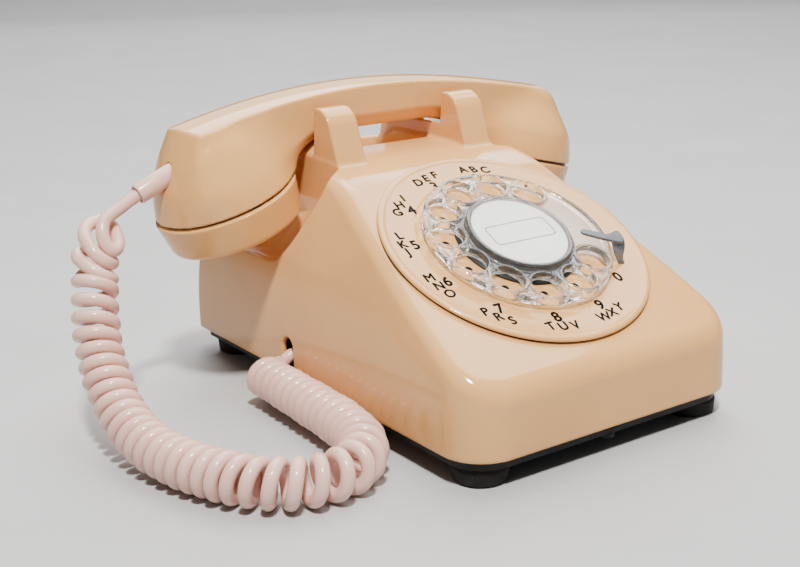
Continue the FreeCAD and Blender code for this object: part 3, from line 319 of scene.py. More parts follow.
def lathe(name, profile, turns=160, closed=True, sharp=38.0, place=None):
    """A turned piece: profile points (radius, height) in millimetres; a point at radius 0 closes it on its axis."""
    verts, faces, rows = [], [], []
    for r, h in profile:
        if r < 1e-6:
            rows.append([len(verts)])
            verts.append((0.0, 0.0, h))
        else:
            rows.append(list(range(len(verts), len(verts) + turns)))
            for i in range(turns):
                a = 2 * math.pi * i / turns
                verts.append((r * math.cos(a), r * math.sin(a), h))
    pairs = list(zip(rows, rows[1:])) + ([(rows[-1], rows[0])] if closed else [])
    for a, b in pairs:
        if len(a) == 1 and len(b) == 1:
            continue
        for i in range(turns):
            j = (i + 1) % turns
            if len(a) == 1:
                faces.append((a[0], b[j], b[i]))
            elif len(b) == 1:
                faces.append((a[i], a[j], b[0]))
            else:
                faces.append((a[i], a[j], b[j], b[i]))
    verts = np.array(verts)
    if place is not None:
        verts = place(verts)
    obj = mesh_object(name, verts, faces)
    obj.data.set_sharp_from_angle(angle=math.radians(sharp))
    return obj


def rmax(a, b, r):
    return np.minimum(np.maximum(a, b), -r) + np.hypot(np.maximum(a + r, 0.0), np.maximum(b + r, 0.0))


def rmin(a, b, r):
    return -rmax(-a, -b, r)


def smin(a, b, k):
    h = np.maximum(k - np.abs(a - b), 0.0) / k
    return np.minimum(a, b) - h * h * k * 0.25


def smooth(t):
    t = np.clip(t, 0.0, 1.0)
    return t * t * (3.0 - 2.0 * t)


def curve(pairs):
    """A smooth curve through (t, value) pairs, straight beyond its ends."""
    t = np.array([p[0] for p in pairs], float)
    v = np.array([p[1] for p in pairs], float)
    m = np.gradient(v, t)

    def value(q):
        q = np.asarray(q, float)
        i = np.clip(np.searchsorted(t, q) - 1, 0, len(t) - 2)
        w = t[i + 1] - t[i]
        s = np.clip((q - t[i]) / w, 0.0, 1.0)
        inside = ((2 * s ** 3 - 3 * s ** 2 + 1) * v[i] + (s ** 3 - 2 * s ** 2 + s) * w * m[i]
                  + (-2 * s ** 3 + 3 * s ** 2) * v[i + 1] + (s ** 3 - s ** 2) * w * m[i + 1])
        return inside + np.where(q < t[0], (q - t[0]) * m[0], 0.0) + np.where(q > t[-1], (q - t[-1]) * m[-1], 0.0)

    return value


# ------------------------------------------------------------------ cord
SLEEVE_ROOT = np.array([-101.5, 54.05, 98.3])
SLEEVE_DIR = np.array([-11.3, -0.2, -4.8])
SLEEVE_DIR = SLEEVE_DIR / np.linalg.norm(SLEEVE_DIR)
COIL_RUN = [(-80.0, 23.4, 12.6), (-79.9, 2.0, 12.3), (-80.0, -22.0, 11.7), (-80.3, -45.0, 11.0), (-84.4, -64.4, 10.4),
            (-96.8, -77.4, 10.1), (-114.6, -79.0, 10.0), (-129.6, -70.0, 10.0), (-139.6, -52.5, 10.0),
            (-146.2, -32.0, 10.0), (-149.6, -11.0, 11.4), (-150.4, 9.0, 17.0), (-149.2, 27.0, 31.0),
            (-146.2, 38.8, 46.8), (-141.6, 46.0, 61.0)]
# From inside the wall notch out and down, behind the end of the coil, to the first turn.
WALL_LEAD = [(-59.0, 20.2, 20.6), (-64.0, 20.2, 20.5), (-69.0, 20.4, 19.2), (-71.8, 21.0, 16.2)]
# The top turns open and tip over; the last one is pulled through itself, up to the sleeve.
HANDSET_LEAD = [(-143.5, 53.7, 62.7), (-138.6, 53.5, 62.6), (-135.0, 49.3, 61.3), (-134.5, 43.3, 60.8), (-138.9, 39.6, 63.3),
                (-142.7, 40.5, 65.9), (-145.1, 44.3, 68.4), (-146.2, 49.3, 69.8), (-145.3, 54.0, 70.7), (-141.8, 57.3, 71.4),
                (-137.0, 57.0, 70.8), (-133.1, 52.3, 68.5), (-132.7, 46.0, 66.5), (-137.1, 42.3, 68.6), (-140.7, 43.2, 71.7),
                (-142.1, 46.6, 75.0), (-142.2, 51.4, 77.9), (-140.8, 55.0, 80.2), (-137.3, 58.2, 81.7), (-133.4, 58.9, 82.2),
                (-130.1, 57.2, 81.8), (-128.6, 53.4, 79.4), (-128.9, 49.3, 76.1), (-130.2, 46.2, 73.4), (-133.0, 43.9, 72.2),
                (-135.4, 44.1, 73.8), (-136.5, 45.5, 76.8), (-136.1, 47.4, 80.2), (-134.6, 49.4, 83.2), (-132.1, 50.9, 85.0),
                (-128.8, 51.9, 86.3), (-124.9, 52.7, 87.9), (-120.7, 53.4, 90.0),
                tuple(SLEEVE_ROOT + 16.0 * SLEEVE_DIR), tuple(SLEEVE_ROOT + 7.0 * SLEEVE_DIR)]
CORD_R, HELIX_R = 2.75, 7.0


def route_points(points, density):
    data = bpy.data.curves.new("cord_route", "CURVE")
    data.dimensions = "3D"
    data.resolution_u = density
    spline = data.splines.new("NURBS")
    spline.points.add(len(points) - 1)
    for point, at in zip(spline.points, points):
        point.co = (at[0] * MM, at[1] * MM, at[2] * MM, 1.0)
    spline.order_u = 3
    spline.use_endpoint_u = True
    obj = link(bpy.data.objects.new("cord_route", data))
    bpy.context.view_layer.update()
    mesh = bpy.data.meshes.new_from_object(obj)
    line = np.array([v.co for v in mesh.vertices], float) / MM
    bpy.data.objects.remove(obj)
    bpy.data.meshes.remove(mesh)
    bpy.data.curves.remove(data)
    keep = np.concatenate([[True], np.linalg.norm(np.diff(line, axis=0), axis=1) > 1e-4])
    return line[keep]


def carried_frames(line, first):
    """Tangent and two cross directions at each point, carried along without twist."""
    tangent = np.gradient(line, axis=0)
    tangent /= np.linalg.norm(tangent, axis=1)[:, None]
    side = np.empty_like(line)
    n = np.array(first, float)
    for i, t in enumerate(tangent):
        n = n - t * (n @ t)
        n /= np.linalg.norm(n)
        side[i] = n
    return tangent, side, np.cross(tangent, side)


def make_cord():
    line = route_points(COIL_RUN, 110)
    step = np.linalg.norm(np.diff(line, axis=0), axis=1)
    s = np.concatenate([[0.0], np.cumsum(step)])
    tangent, side, other = carried_frames(line, (0.0, 0.0, 1.0))
    bend = np.linalg.norm(np.gradient(tangent, axis=0), axis=1) / np.maximum(np.gradient(s), 1e-6)
    wide = np.hanning(201)
    bend = np.convolve(np.pad(bend, 100, mode="edge"), wide / wide.sum(), mode="valid")
    along = s / s[-1]
    # Turns lie close on the straight run, open where the coil bends, and hang a little open near the handset.
    close = 5.78 + 0.10 * np.sin(0.23 * s) + 1.6 * smooth((along - 0.88) / 0.10)
    pitch = close / (1.0 - np.minimum(HELIX_R * bend, 0.42))
    turn = np.concatenate([[0.0], np.cumsum(step / (0.5 * (pitch[1:] + pitch[:-1])))])
    # The first turn starts on the wall side; the last one ends on the outer left.
    outer = np.array([-0.824, 0.566, 0.031])
    last = math.atan2(-(outer @ other[-1]), outer @ side[-1])
    first = 0.5 * math.pi
    whole = round((first + 2.0 * math.pi * turn[-1] - last) / (2.0 * math.pi))
    angle = first + turn * ((last + 2.0 * math.pi * whole - first) / turn[-1])
    reach = HELIX_R - 0.5 * smooth((70.0 - s) / 60.0) + 0.13 * np.sin(1.9 * turn + 0.4) * smooth(s / 12.0) * smooth((s[-1] - s) / 12.0)
    lean = 0.3 * np.sin(0.37 * turn) * smooth(s / 15.0) * smooth((s[-1] - s) / 15.0)
    helix = (line + reach[:, None] * (np.cos(angle)[:, None] * side - np.sin(angle)[:, None] * other)
             + lean[:, None] * tangent)
    enter, leave = helix[0] - helix[1], helix[-1] - helix[-2]
    enter, leave = enter / np.linalg.norm(enter), leave / np.linalg.norm(leave)
    inlet = route_points(WALL_LEAD + [tuple(helix[0] + 4.5 * enter), tuple(helix[0])], 10)
    outlet = route_points([tuple(helix[-1]), tuple(helix[-1] + 2.5 * leave)] + HANDSET_LEAD, 10)
    wire = np.concatenate([inlet[:-1], helix, outlet[1:]])
    gap = np.linalg.norm(np.diff(wire, axis=0), axis=1)
    length = float(gap.sum())
    t, a, b = carried_frames(wire, (0.0, 0.0, 1.0))
    around = 14
    q = 2.0 * math.pi * np.arange(around) / around
    rings = (wire[:, None, :] + CORD_R * (np.cos(q)[None, :, None] * a[:, None, :] + np.sin(q)[None, :, None] * b[:, None, :]))
    verts = rings.reshape(-1, 3)
    n = len(wire)
    i = np.arange(n - 1)[:, None] * around
    j = np.arange(around)[None, :]
    k = (j + 1) % around
    quads = np.stack([i + j, i + k, i + around + k, i + around + j], -1).reshape(-1, 4)
    faces = [tuple(f) for f in quads.tolist()]
    faces.append(tuple(range(around - 1, -1, -1)))
    faces.append(tuple(range((n - 1) * around, n * around)))
    obj = mesh_object("handset_cord", verts, faces)
    paint(obj, SLOTS["cord_vinyl"])
    print("cord: turns %.1f wire %.1f mm run %.1f mm rings %d low z %.2f" % (whole, length, s[-1], n, verts[:, 2].min()))
    return obj, wire, length


cord, cord_line, cord_length = make_cord()


def along_sleeve(verts):
    z = SLEEVE_DIR
    x = np.cross(np.array([0.0, 1.0, 0.0]), z)
    x /= np.linalg.norm(x)
    y = np.cross(z, x)
    return SLEEVE_ROOT + verts[:, :1] * x + verts[:, 1:2] * y + verts[:, 2:] * z


sleeve = lathe("cord_sleeve_moulded", [
    (0.0, -9.0), (4.1, -9.0), (4.35, -8.6), (4.35, 15.9), (4.27, 16.5), (4.05, 16.85), (3.8, 16.9), (3.55, 16.7),
    (3.45, 16.2), (3.45, 6.0), (0.0, 6.0)], turns=64, closed=False, sharp=60.0, place=along_sleeve)
paint(sleeve, SLOTS["cord_vinyl"])
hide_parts("cord_sleeve")
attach(sleeve, "handset")
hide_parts("cord_coil", "cord_lead_base", "cord_lead_handset")
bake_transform(cord)


# ------------------------------------------------------------------ housing
SIDE = np.polyfit([5, 10, 20, 30, 42, 55, 68, 82, 99, 112, 122], [69.1, 69.0, 68.9, 68.5, 67.2, 64.5, 60.6, 56.0, 50.0, 45.2, 41.4], 5)
SIDE_SLOPE = np.polyder(SIDE)
SCOOP = np.polyfit([53, 56.7, 60.5, 64.7, 70, 75.2, 79.3, 86.7, 91.3, 98], [16.5, 21, 26, 31.2, 35.6, 38.9, 41.9, 47.6, 50.3, 52.3], 4)
SCOOP_SLOPE = np.polyder(SCOOP)
DIAL_AT = np.array([0.0, -48.92, 70.98])
DIAL_V = np.array([0.0, 0.88474, 0.46608])
DIAL_N = np.array([0.0, -0.46608, 0.88474])


def housing_core(x, y, z):
    ax = np.abs(x)
    zc = np.clip(z, 5.0, 122.0)
    slope = np.polyval(SIDE_SLOPE, zc)
    side = (ax - np.polyval(SIDE, zc)) / np.sqrt(1.0 + slope * slope)
    plan = rmax(side, -109.0 - y, 18.0)
    rear = rmax(y - 110.5, ((y - 110.5) * 54.0 + (z - 46.0) * 12.0) / 55.32, 2.0)
    plan = rmax(plan, rear, 5.0)
    top = rmax((z - 94.93 - 0.5267 * y) / 1.1302, z - (98.5 + 0.05 * np.clip(y - 17.0, 0.0, 29.0) - 5.6 * smooth((y - 74.0) / 14.0)), 9.0)
    body = rmax(plan, top, 5.5)
    lane = rmax(26.5 - ax, ax - 41.3, 0.5)
    front = rmax((-(y - 17.9) * 18.0 + (z - 98.0) * 6.5) / 19.14, z - 121.3, 6.5)
    front = rmax(front, ((y - 36.0) * 23.5 + (z - 121.5) * 2.8) / 23.67, 0.8)
    back = rmax(((y - 82.0) * 23.3 + (z - 121.3) * 6.5) / 24.19, z - 121.3, 5.0)
    back = rmax(back, (-(y - 72.0) * 23.5 + (z - 121.5) * 2.8) / 23.67, 0.8)
    prongs = rmax(np.minimum(front, back), lane, 0.9)
    saddle = rmax(rmax((z - 107.3 + 0.30 * (ax - 26.5)) / 1.044, (z - 103.9 + ax - 37.5) / 1.4142, 0.5), np.abs(y - 54.0) - 24.0, 0.5)
    prongs = np.minimum(prongs, rmax(saddle, lane, 0.9))
    prongs = np.maximum(prongs, 90.0 - z)
    body = smin(body, prongs, 2.2)
    zs = np.clip(z, 53.0, 99.0)
    lean = np.polyval(SCOOP_SLOPE, zs)
    scoop = (np.hypot(ax - 79.0, y - 54.0) - np.polyval(SCOOP, zs)) / np.sqrt(1.0 + lean * lean)
    scoop = rmax(scoop, 56.8 - z, 1.0)
    scoop = np.maximum(scoop, 41.3 - ax)
    body = rmax(body, -scoop, 0.9)
    low = rmax(72.0 - z, ((y - 90.0) * 22.4 - (z - 72.0) * 4.0) / 22.75, 4.0)
    recess = rmax(low, (-(y - 46.0) * 28.0 - (z - 100.0) * 4.0) / 28.28, 4.0)
    recess = rmax(recess, ax - 26.3, 3.0)
    return rmax(body, -recess, 1.4)


def housing_field(x, y, z):
    core = housing_core(x, y, z)
    shell = rmax(core, 11.0 - z, 0.8)
    shell = np.maximum(shell, -(core + 3.0))
    h = (y - DIAL_AT[1]) * DIAL_N[1] + (z - DIAL_AT[2]) * DIAL_N[2]
    v = (y - DIAL_AT[1]) * DIAL_V[1] + (z - DIAL_AT[2]) * DIAL_V[2]
    well = np.maximum(np.hypot(x, v) - 50.0, np.abs(h) - 14.0)
    shell = np.maximum(shell, -well)
    pins = np.maximum(np.hypot(np.abs(x) - 33.0, y - 54.0) - 3.95, 80.0 - z)
    shell = rmax(shell, -pins, 0.6)
    notch = np.maximum(np.hypot(y - 21.2, np.maximum(z - 22.8, 0.0)) - 4.4, x + 55.0)
    shell = rmax(shell, -notch, 1.3)
    inlet = np.maximum(np.hypot(x + 40.0, np.maximum(z - 17.0, 0.0)) - 4.0, 95.0 - y)
    return rmax(shell, -inlet, 0.7)


verts, quads, normals = nets(housing_field, (-71.0, -111.0, 9.5), (71.0, 113.0, 123.5), 0.85 if FINE else 1.7)
housing = mesh_object("housing_moulded", verts, quads, normals)
paint(housing, SLOTS["beige_plastic"])
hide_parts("housing")
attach(housing, "base")
print("housing", len(verts))


# ------------------------------------------------------------------ handset
MIC = (-77.3, 85.9, 0.9483, 0.3173, 31.5)
EAR = (-80.0, 83.4, 0.9686, 0.2487, 30.4)
MIC_DOME = curve([(-4, 31.9), (0, 31.5), (4.5, 30.3), (9.9, 28.5), (14.9, 26.2), (19.5, 23.9), (23.9, 21.4), (28.8, 17.9), (33, 14.8), (36.5, 11.5), (40, 7.5)])
EAR_DOME = curve([(-4, 30.9), (0, 30.6), (5.3, 30.1), (10.1, 29.1), (13.9, 28.0), (17.6, 26.3), (21.2, 24.1), (24.7, 21.5), (29.1, 18.5), (33, 15.3), (36.5, 12.0), (40, 8.0)])
CREST = np.polyfit([-93.8, -78.1, -59.4, -46.6, -35.7, -13.6, 2.8, 19.6, 36.9, 48.7, 60.8, 73.1, 85.8, 98.7],
                   [115.7, 119.3, 123.2, 125.2, 126.4, 128.0, 127.9, 127.0, 125.2, 123.5, 121.9, 120.1, 117.6, 114.5], 4)
ROOM = curve([(-6, 28.5), (0, 28.5), (4, 27.2), (8, 25.0), (12, 21.5), (16, 17.5), (21, 13.0), (25, 9.0)])
LEADS = np.array([(-66.0, 54.0, 106.0), (-34.0, 54.0, 116.6), (34.0, 54.0, 116.6), (68.0, 54.0, 104.0)])


def cup_frame(xm, z, which):
    ox, oz, c, s, r = which
    return (xm - ox) * c + (z - oz) * s, -(xm - ox) * s + (z - oz) * c


MIC_END = curve([(-4, 34.5), (0, 32.5), (8, 28.6), (13, 26.0), (18, 22.6), (23, 18.8), (28, 14.4), (33.5, 9.4), (36, 7.2), (40, 3.6)])


def cup_dome(xm, v, z, which, dome, square):
    """A turned dome, squarer in plan on its outer half above the seam."""
    u, s = cup_frame(xm, z, which)
    slope = dome(s + 0.5) - dome(s - 0.5)
    n = 2.0 + square * smooth(s / 14.0)
    reach = np.where(u < 0.0, (np.abs(u) ** n + np.abs(v) ** n) ** (1.0 / n), np.hypot(u, v))
    return (reach - dome(s)) / np.sqrt(1.0 + slope * slope), u, s


def handset_core(x, y, z):
    v = y - 54.0
    ax = np.abs(x)
    mic, um, sm = cup_dome(x, v, z, MIC, MIC_DOME, 0.7)
    high = smooth((-(-x - EAR[0]) * EAR[3] + (z - EAR[1]) * EAR[2] - 12.0) / 16.0)
    ear, ue, se = cup_dome(-x, v * (1.0 + 0.14 * high), z, EAR, EAR_DOME, 0.0)
    low = 108.7 - 0.0105 * np.maximum(ax - 20.0, 0.0) ** 2.05
    tilt = 0.0105 * 2.05 * np.maximum(ax - 20.0, 0.0) ** 1.05
    under = (low - z) / np.sqrt(1.0 + tilt * tilt)
    side = np.abs(v) - 14.2
    facet = ((np.abs(v) - 14.3) * 5.8 + (low + 5.8 - z) * 5.3) / 7.857
    bar = rmax(side, rmax(facet, under, 1.4), 1.0)
    bar = np.maximum(bar, ax - 100.0)
    out = smooth((ax - 58.0) / 22.0)
    body = smin(smin(bar, mic, 15.0 - 11.0 * out), ear, 11.0 - 7.0 * out)
    mic_end = (-um - MIC_END(sm) + v * v / 80.0) / 1.32
    body = rmax(body, mic_end, 0.8 + 1.4 * smooth((20.0 - sm) / 14.0))
    ear_end = (-ue - 12.5 - 0.90 * (32.3 - se) + v * v / 108.0) / 1.345
    body = rmax(body, ear_end, 4.0 + 1.6 * smooth((22.0 - se) / 12.0))
    crest = np.polyval(CREST, x) + 1.2 - 1.4 * (v / 14.0) ** 2
    body = rmax(body, z - crest, 1.0 + 4.0 * smooth((x - 80.0) / 14.0))
    cut = np.where(x < -18.0, 0.45 - sm, np.where(x > 18.0, 0.45 - se, -50.0))
    return rmax(body, cut, 0.5), um, sm, ue, se


def handset_field(x, y, z):
    body, um, sm, ue, se = handset_core(x, y, z)
    v = y - 54.0
    for u, s, shrink in ((um, sm, 0.0), (ue, se, 1.1)):
        room = np.maximum(np.hypot(u, v) - (ROOM(s) - shrink), s - 21.0)
        body = np.maximum(body, -room)
    px, py, pz = x - SLEEVE_ROOT[0], y - SLEEVE_ROOT[1], z - SLEEVE_ROOT[2]
    t = px * SLEEVE_DIR[0] + py * SLEEVE_DIR[1] + pz * SLEEVE_DIR[2]
    off = np.sqrt(np.maximum(px * px + py * py + pz * pz - t * t, 0.0)) - 4.45
    body = rmax(body, -np.maximum(off, -12.0 - t), 0.4)
    for a, b in zip(LEADS[:-1], LEADS[1:]):
        d = b - a
        t = np.clip(((x - a[0]) * d[0] + (y - a[1]) * d[1] + (z - a[2]) * d[2]) / (d @ d), 0.0, 1.0)
        body = np.maximum(body, 3.4 - np.sqrt((x - a[0] - t * d[0]) ** 2 + (y - a[1] - t * d[1]) ** 2 + (z - a[2] - t * d[2]) ** 2))
    return body


verts, quads, normals = nets(handset_field, (-113.0, 20.5, 72.0), (114.0, 87.5, 131.0), 0.8 if FINE else 1.5)
handset = mesh_object("handset_moulded", verts, quads, normals)
paint(handset, SLOTS["handset_plastic"])
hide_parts("handset_shell")
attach(handset, "handset")
print("handset", len(verts))

CAP_SIDE = curve([(-18, 29.2), (-14, 30.0), (-10, 30.7), (-6, 31.3), (-3, 31.75), (-1.6, 31.9), (0.5, 31.9)])


def cap_field(holes, k):
    def field(x, y, z):
        r = np.hypot(x, y)
        lip = rmax(r - CAP_SIDE(z) * k, (r - 30.0 * k + (z + 0.45) * 2.1) / 2.326, 0.25)
        body = rmax(np.maximum(lip, z + 0.45), -16.6 - z, 2.6)
        dish = 16.6 - 1.0 * np.clip(1.0 - (r / 24.0) ** 2, 0.0, 1.0)
        body = rmax(body, -dish - z, 1.0)
        neck = np.maximum(np.maximum(r - 28.2 * k, z - 3.6), -2.0 - z)
        body = np.minimum(body, neck)
        body = np.maximum(body, -np.maximum(r - (31.5 * k - 4.8), -13.9 - z))
        for hx, hy, hr in holes:
            body = rmax(body, -np.maximum(np.hypot(x - hx, y - hy) - hr, z + 8.0), 0.35)
        return body
    return field


def ring_holes(rings):
    found = []
    for i, (n, rad, hr) in enumerate(rings):
        for j in range(n):
            a = 2 * math.pi * j / n + 0.26 * i
            found.append((rad * math.cos(a), rad * math.sin(a), hr))
    return found


def cap(name, node, which, flip, rings):
    ox, oz, c, s, r = which
    k = r / 31.5
    verts, quads, normals = nets(cap_field(ring_holes(rings), k), (-33.0, -33.0, -18.0), (33.0, 33.0, 5.0), 0.42 if FINE else 1.2)
    ex, ez = np.array([c, 0.0, s]), np.array([-s, 0.0, c])
    origin = np.array([ox, 54.0, oz])
    if flip:
        ex, ez, origin = ex * (-1, 1, 1), ez * (-1, 1, 1), origin * (-1, 1, 1)
        ey = np.array([0.0, -1.0, 0.0])
    else:
        ey = np.array([0.0, 1.0, 0.0])
    if np.dot(np.cross(ex, ey), ez) < 0:
        ey = -ey
    basis = np.stack([ex, ey, ez])
    obj = mesh_object(name, origin + verts @ basis, quads, normals @ basis)
    paint(obj, SLOTS["handset_plastic"])
    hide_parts(node)
    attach(obj, "handset")
    return obj


def seam(name, which, flip):
    """A dark ring of painted shade: it stands for the shadow that shows in the gap between the shell and a screwed-on
    cap.
    """
    ox, oz, c, s, r = which
    k = r / 31.5

    def stand(v):
        side = -1.0 if flip else 1.0
        x, z = ox + v[:, 0] * c - v[:, 2] * s, oz + v[:, 0] * s + v[:, 2] * c
        return np.column_stack([side * x, 54.0 + side * v[:, 1], z])

    obj = lathe(name, [(29.0 * k, -0.40), (30.0 * k, -0.40), (30.15 * k, 0.0), (30.0 * k, 0.40), (29.0 * k, 0.40)], turns=140,
                place=stand)
    # The dark plastic here is painted shade for the gap, not a part of the handset.
    paint(obj, SLOTS["dark_plastic"])
    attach(obj, "handset")


seam("transmitter_seam_painted_shade", MIC, False)
seam("receiver_seam_painted_shade", EAR, True)
cap("transmitter_cap_moulded", "transmitter_cap", MIC, False, [(1, 0.0, 1.5), (6, 6.0, 1.5), (12, 12.0, 1.5), (16, 18.0, 1.5)])
cap("receiver_cap_moulded", "receiver_cap", EAR, True, [(1, 0.0, 1.7), (6, 6.5, 1.7)])


# ------------------------------------------------------------------ dial
def on_dial(verts):
    verts = np.asarray(verts, float)
    return DIAL_AT + verts[:, :1] * np.array([1.0, 0.0, 0.0]) + verts[:, 1:2] * DIAL_V + verts[:, 2:] * DIAL_N


plate = lathe("number_plate_moulded", [
    (18.0, -1.3), (54.6, -1.3), (54.8, -0.8), (56.7, -0.72), (57.1, -0.5), (57.17, -0.1), (56.9, 0.36), (56.3, 0.64), (55.4, 0.72), (54.7, 0.62),
    (54.2, 0.46), (53.6, 0.36), (42.6, 0.36), (42.0, 0.30), (41.5, 0.10), (41.0, 0.0), (18.0, 0.0)],
    turns=220, place=on_dial, sharp=50.0)
paint(plate, SLOTS["beige_plastic"])
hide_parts("number_plate")
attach(plate, "base")
# A thin black ring under the plate's rim: painted shade, the dark shadow line around the plate's edge.
plate_edge_shade = lathe("plate_edge_painted_shade", [(52.0, -1.7), (56.5, -1.7), (56.6, -1.2), (56.5, -0.78), (54.9, -0.78), (54.7, -1.36), (52.0, -1.36)],
               turns=220, place=on_dial)
paint(plate_edge_shade, SLOTS["black_rubber"])
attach(plate_edge_shade, "base")
collar = lathe("dial_centre_ring", [
    (21.3, 0.03), (25.4, 0.03), (25.7, 0.3), (25.7, 0.8), (25.2, 1.2), (23.6, 1.4), (21.3, 1.4)], turns=160, place=on_dial)
paint(collar, SLOTS["black_paint"])
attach(collar, "base")

HOLE_R, HOLE_CIRCLE = 6.8, 31.2
HOLES = [math.radians(46.3 + 30.0 * i) for i in range(10)]


def wheel_field(x, y, h):
    r = np.hypot(x, y)
    disc = rmax(r - 39.6, np.abs(h - 3.4) - 1.2, 0.3)
    rim = rmax(np.abs(r - 38.5) - 1.1, np.abs(h - 3.5) - 1.75, 0.9)
    body = smin(disc, rim, 0.8)
    hub = rmax(r - 22.2, np.abs(h - 4.6) - 2.4, 0.6)
    body = smin(body, hub, 1.6)
    bores = np.full(r.shape, 99.0)
    for a in HOLES:
        d = np.hypot(x - HOLE_CIRCLE * math.cos(a), y - HOLE_CIRCLE * math.sin(a))
        skirt = rmax(np.abs(d - 7.4) - 0.75, np.abs(h - 3.5) - 1.95, 0.45)
        body = smin(body, np.maximum(skirt, r - 39.2), 0.9)
        bores = np.minimum(bores, d - HOLE_R)
    body = rmax(body, -bores, 0.4)
    body = rmax(body, -np.maximum(r - 20.5, 5.7 - h), 0.25)
    return np.maximum(body, 3.4 - r)


verts, quads, normals = nets(wheel_field, (-40.4, -40.4, 1.0), (40.4, 40.4, 7.6), 0.36 if FINE else 0.7)
wheel = mesh_object("finger_wheel_moulded", on_dial(verts), quads, on_dial(normals) - DIAL_AT)
paint(wheel, SLOTS["clear_plastic"])
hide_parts("finger_wheel")
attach(wheel, "dial_rotor")
print("wheel", len(verts))

# Black so the clear hub around the card looks dark: painted reflection of the black centre ring seen through the hub.
dark_lining = lathe("hub_lining_painted_reflection", [(20.2, 2.5), (20.7, 2.5), (20.8, 2.7), (20.8, 5.3), (20.7, 5.5), (20.2, 5.5)], turns=128,
               place=on_dial)
paint(dark_lining, SLOTS["black_paint"])
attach(dark_lining, "dial_rotor")
card = lathe("dial_card_printed", [(0.0, 5.75), (20.2, 5.75), (20.25, 5.95), (20.1, 6.12), (0.0, 6.12)], turns=128, closed=False,
             place=on_dial)
paint(card, SLOTS["white_card"])
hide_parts("dial_card")
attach(card, "dial_rotor")
cover = lathe("card_cover_moulded", [
    (0.0, 6.3), (20.0, 6.3), (20.3, 6.4), (20.35, 6.9), (20.1, 7.25), (19.2, 7.45), (12.0, 7.62), (6.0, 7.68), (0.0, 7.7)],
    turns=128, closed=False, place=on_dial)
paint(cover, glaze)
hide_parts("card_cover")
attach(cover, "dial_rotor")


def strip_mesh(name, line, half, low, high, closed, place):
    """A flat ribbon of one width along a line in the dial plane."""
    line = np.array(line, float)
    n = len(line)
    ahead = np.roll(line, -1, 0) - np.roll(line, 1, 0) if closed else np.gradient(line, axis=0)
    ahead /= np.linalg.norm(ahead, axis=1)[:, None]
    out = np.stack([-ahead[:, 1], ahead[:, 0]], 1) * half
    verts = np.concatenate([
        np.column_stack([line + out, np.full(n, high)]), np.column_stack([line - out, np.full(n, high)]),
        np.column_stack([line - out, np.full(n, low)]), np.column_stack([line + out, np.full(n, low)])])
    faces = []
    for i in range(n if closed else n - 1):
        j = (i + 1) % n
        for k in range(4):
            a, b = k * n, ((k + 1) % 4) * n
            faces.append((a + i, b + i, b + j, a + j))
    if not closed:
        faces += [(0, 3 * n, 2 * n, n), (n - 1, 2 * n - 1, 3 * n - 1, 4 * n - 1)]
    return mesh_object(name, place(verts), faces, smooth=False)


def rounded_frame(cx, cy, w, h, r, n=8):
    line = []
    for sx, sy, a0 in ((1, 1, 0), (-1, 1, 90), (-1, -1, 180), (1, -1, 270)):
        for i in range(n + 1):
            a = math.radians(a0 + 90.0 * i / n)
            line.append((cx + sx * (w / 2 - r) + r * math.cos(a), cy + sy * (h / 2 - r) + r * math.sin(a)))
    return line


frame_line = strip_mesh("card_rule", rounded_frame(0.8, 0.3, 30.0, 11.0, 2.0), 0.24, 6.13, 6.17, True, on_dial)
paint(frame_line, rule_ink)
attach(frame_line, "dial_rotor")


def glyph(name, text, size, u, v, h, bold):
    """One printed character; its stroke is thickened by laying it down several times, slightly shifted."""
    data = bpy.data.curves.new(name, "FONT")
    data.body = text
    data.size = size
    data.align_x, data.align_y = "CENTER", "CENTER"
    data.extrude = 0.03
    data.resolution_u = 6
    obj = link(bpy.data.objects.new(name, data))
    bpy.context.view_layer.update()
    mesh = bpy.data.meshes.new_from_object(obj)
    bpy.data.objects.remove(obj)
    bpy.data.curves.remove(data)
    co = np.array([p.co for p in mesh.vertices], float)
    co[:, 0] += u - 0.5 * (co[:, 0].min() + co[:, 0].max())
    co[:, 1] += v - 0.5 * (co[:, 1].min() + co[:, 1].max())
    co[:, 2] += h
    faces = [tuple(f.vertices) for f in mesh.polygons]
    bpy.data.meshes.remove(mesh)
    many, polys = [], []
    for k in range(8):
        shift = np.array([bold * math.cos(0.25 * math.pi * k), bold * math.sin(0.25 * math.pi * k), 0.004 * k])
        polys += [tuple(k * len(co) + i for i in f) for f in faces]
        many.append(co + shift)
    return np.concatenate(many), polys


def legend(name, marks):
    verts, faces = [], []
    for co, polys in marks:
        base = sum(len(c) for c in verts)
        verts.append(co)
        faces += [tuple(base + i for i in f) for f in polys]
    obj = mesh_object(name, on_dial(np.concatenate(verts)), faces, smooth=False)
    paint(obj, ink)
    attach(obj, "base")
    return obj


